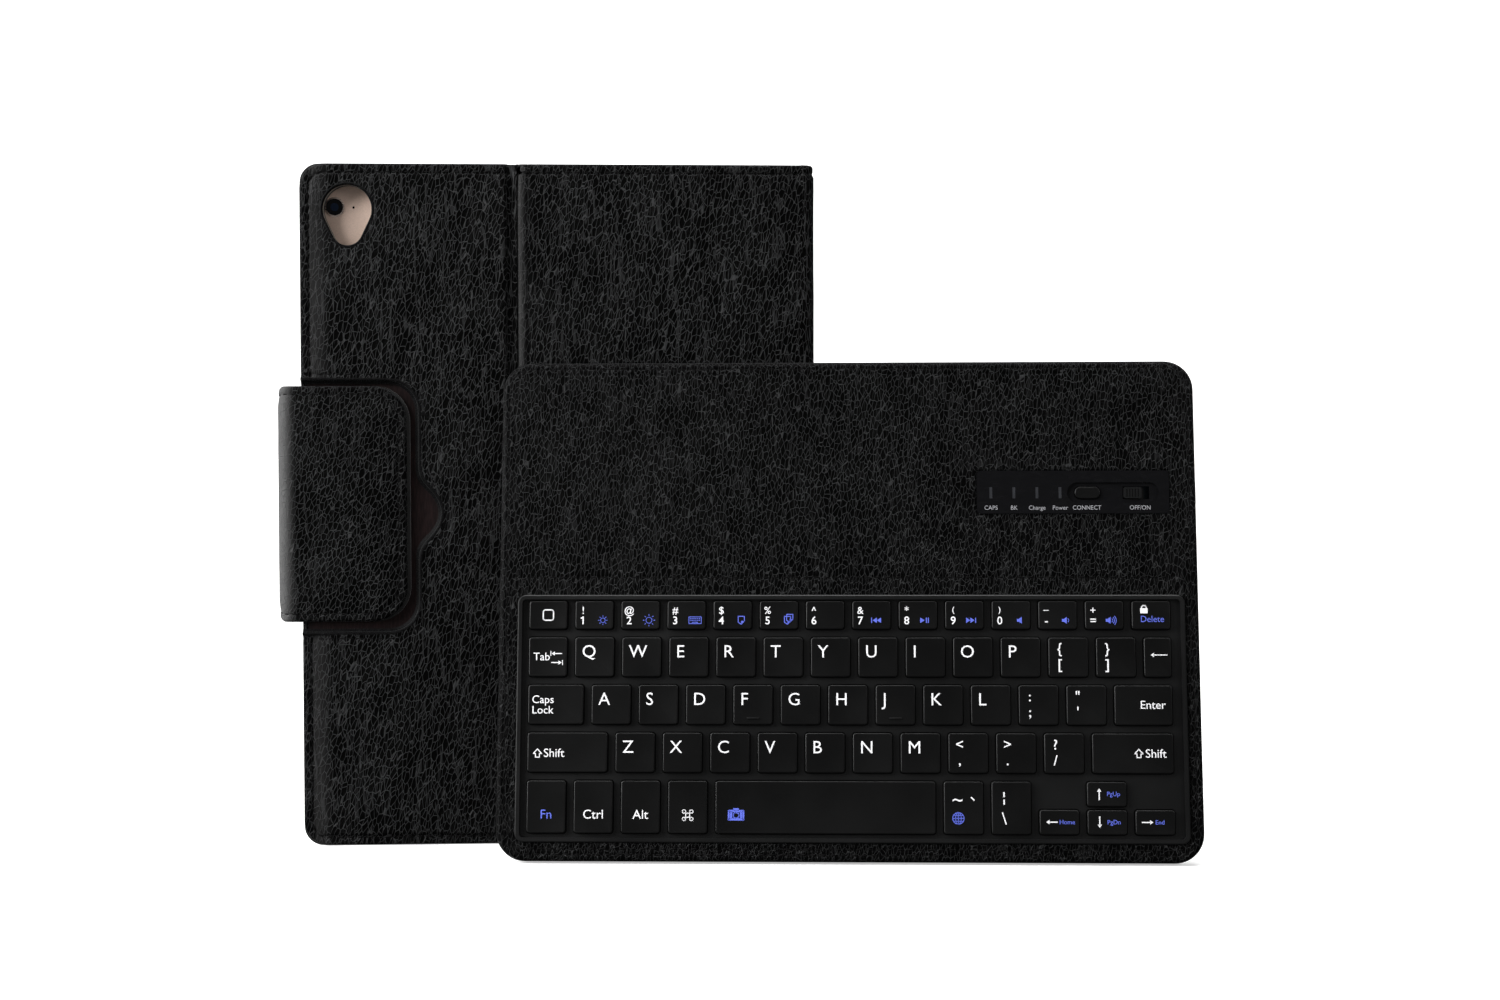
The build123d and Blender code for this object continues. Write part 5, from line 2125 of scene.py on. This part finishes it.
@dataclass
class Studio:
    """Floor, lights and camera."""

    eye: Triple = (137.2, -679.8, 144.0)
    yaw: float = 2.39
    pitch: float = -1.38
    roll: float = -0.14
    lens: float = 43.9
    dim: float = 0.14

    def camera(self) -> None:
        """The camera, upright but for a slight turn."""
        yaw, pitch, roll = (math.radians(a) for a in (self.yaw, self.pitch, self.roll))
        ahead = Vector((math.sin(yaw) * math.cos(pitch), math.cos(yaw) * math.cos(pitch), math.sin(pitch)))
        side = Vector((math.cos(yaw), -math.sin(yaw), 0))
        up = side.cross(ahead)
        side, up = side * math.cos(roll) + up * math.sin(roll), up * math.cos(roll) - side * math.sin(roll)
        lens = bpy.data.cameras.new("view")
        lens.lens, lens.sensor_width = self.lens, 36.0
        lens.clip_start, lens.clip_end = 0.05, 20.0
        made = bpy.data.objects.new("view", lens)
        turn = Matrix((side, up, -ahead)).transposed().to_4x4()
        made.matrix_world = Matrix.Translation(CASE.spot(*self.eye)) @ turn
        bpy.context.scene.collection.objects.link(made)
        bpy.context.scene.camera = made

    def floor(self) -> None:
        """Pale floor with a wall curving up far behind."""
        bm = bmesh.new()
        bmesh.ops.create_grid(bm, x_segments=1, y_segments=1, size=1.0)
        bmesh.ops.scale(bm, vec=(4.0, 2.0, 1), verts=bm.verts)
        bmesh.ops.translate(bm, vec=(0, -0.6, 0), verts=bm.verts)
        far = [e for e in bm.edges if all(v.co.y > 1.0 for v in e.verts)]
        turn = {"cent": (0, 1.4, 0.8), "axis": (1, 0, 0), "angle": math.radians(90), "steps": 16}
        bmesh.ops.spin(bm, geom=far, dvec=(0, 0, 0), **turn)
        top = [e for e in bm.edges if all(v.co.z > 0.79 for v in e.verts)]
        grown = bmesh.ops.extrude_edge_only(bm, edges=top)["geom"]
        bmesh.ops.translate(bm, vec=(0, 0, 2.5), verts=vertices(grown))
        bmesh.ops.recalc_face_normals(bm, faces=bm.faces)
        made = piece(bm, "floor", Matrix.Translation((0, 0, -0.0002)), Finishes.FLOOR, 60)

    def lamp(self, name: str, spot: Triple, aim: Triple, size: Pair, power: float) -> None:
        """A soft rectangular light.

        Args:
            name: Its name.
            spot: Where it is, in metres in the row frame.
            aim: What it points at.
            size: Width and height.
            power: Watts.
        """
        light = bpy.data.lights.new(name, "AREA")
        light.shape = "RECTANGLE"
        light.size, light.size_y = size
        light.energy = power
        made = bpy.data.objects.new(name, light)
        made.location = spot
        made.rotation_euler = (Vector(aim) - Vector(spot)).to_track_quat("-Z", "Y").to_euler()
        bpy.context.scene.collection.objects.link(made)

    def build(self) -> None:
        """Set up the studio."""
        self.camera()
        self.floor()
        self.lamp("key_light", (-1.7, -0.75, 1.3), (0, 0, 0.12), (0.7, 1.1), 56.0)
        self.lamp("fill_light", (1.6, -1.2, 1.1), (0, 0, 0.12), (1.0, 1.0), 14.0)
        self.lamp("side_light", (-1.5, -0.3, 0.42), (-0.1, 0, 0.12), (0.35, 0.9), 34.0)
        self.lamp("top_light", (0.0, -0.1, 1.9), (0, 0, 0.1), (1.8, 0.8), 40.0)
        self.lamp("back_wall_light", (0.0, 0.7, 1.6), (0, 2.0, 0.6), (2.4, 0.8), 30.0)
        world = bpy.data.worlds.new("studio")
        world.use_nodes = True
        tree = world.node_tree
        path = tree.nodes.new("ShaderNodeLightPath")
        level = tree.nodes.new("ShaderNodeMapRange")
        level.inputs["To Min"].default_value, level.inputs["To Max"].default_value = self.dim, 1.0
        tree.links.new(path.outputs["Is Camera Ray"], level.inputs["Value"])
        tree.links.new(level.outputs["Result"], tree.nodes["Background"].inputs["Strength"])
        tree.nodes["Background"].inputs["Color"].default_value = (1, 1, 1, 1)
        bpy.context.scene.world = world
        bpy.context.scene.view_settings.view_transform = "Standard"


def main() -> None:
    """Build the case piece by piece and set up the studio."""
    logging.basicConfig(level=logging.INFO, format="%(name)s %(message)s")
    Covers().build()
    Folds().build()
    Clasp().build()
    Board().build()
    Carried().dress()
    DisplayBlank().build()
    Studio().build()


if __name__ == "__main__":
    main()
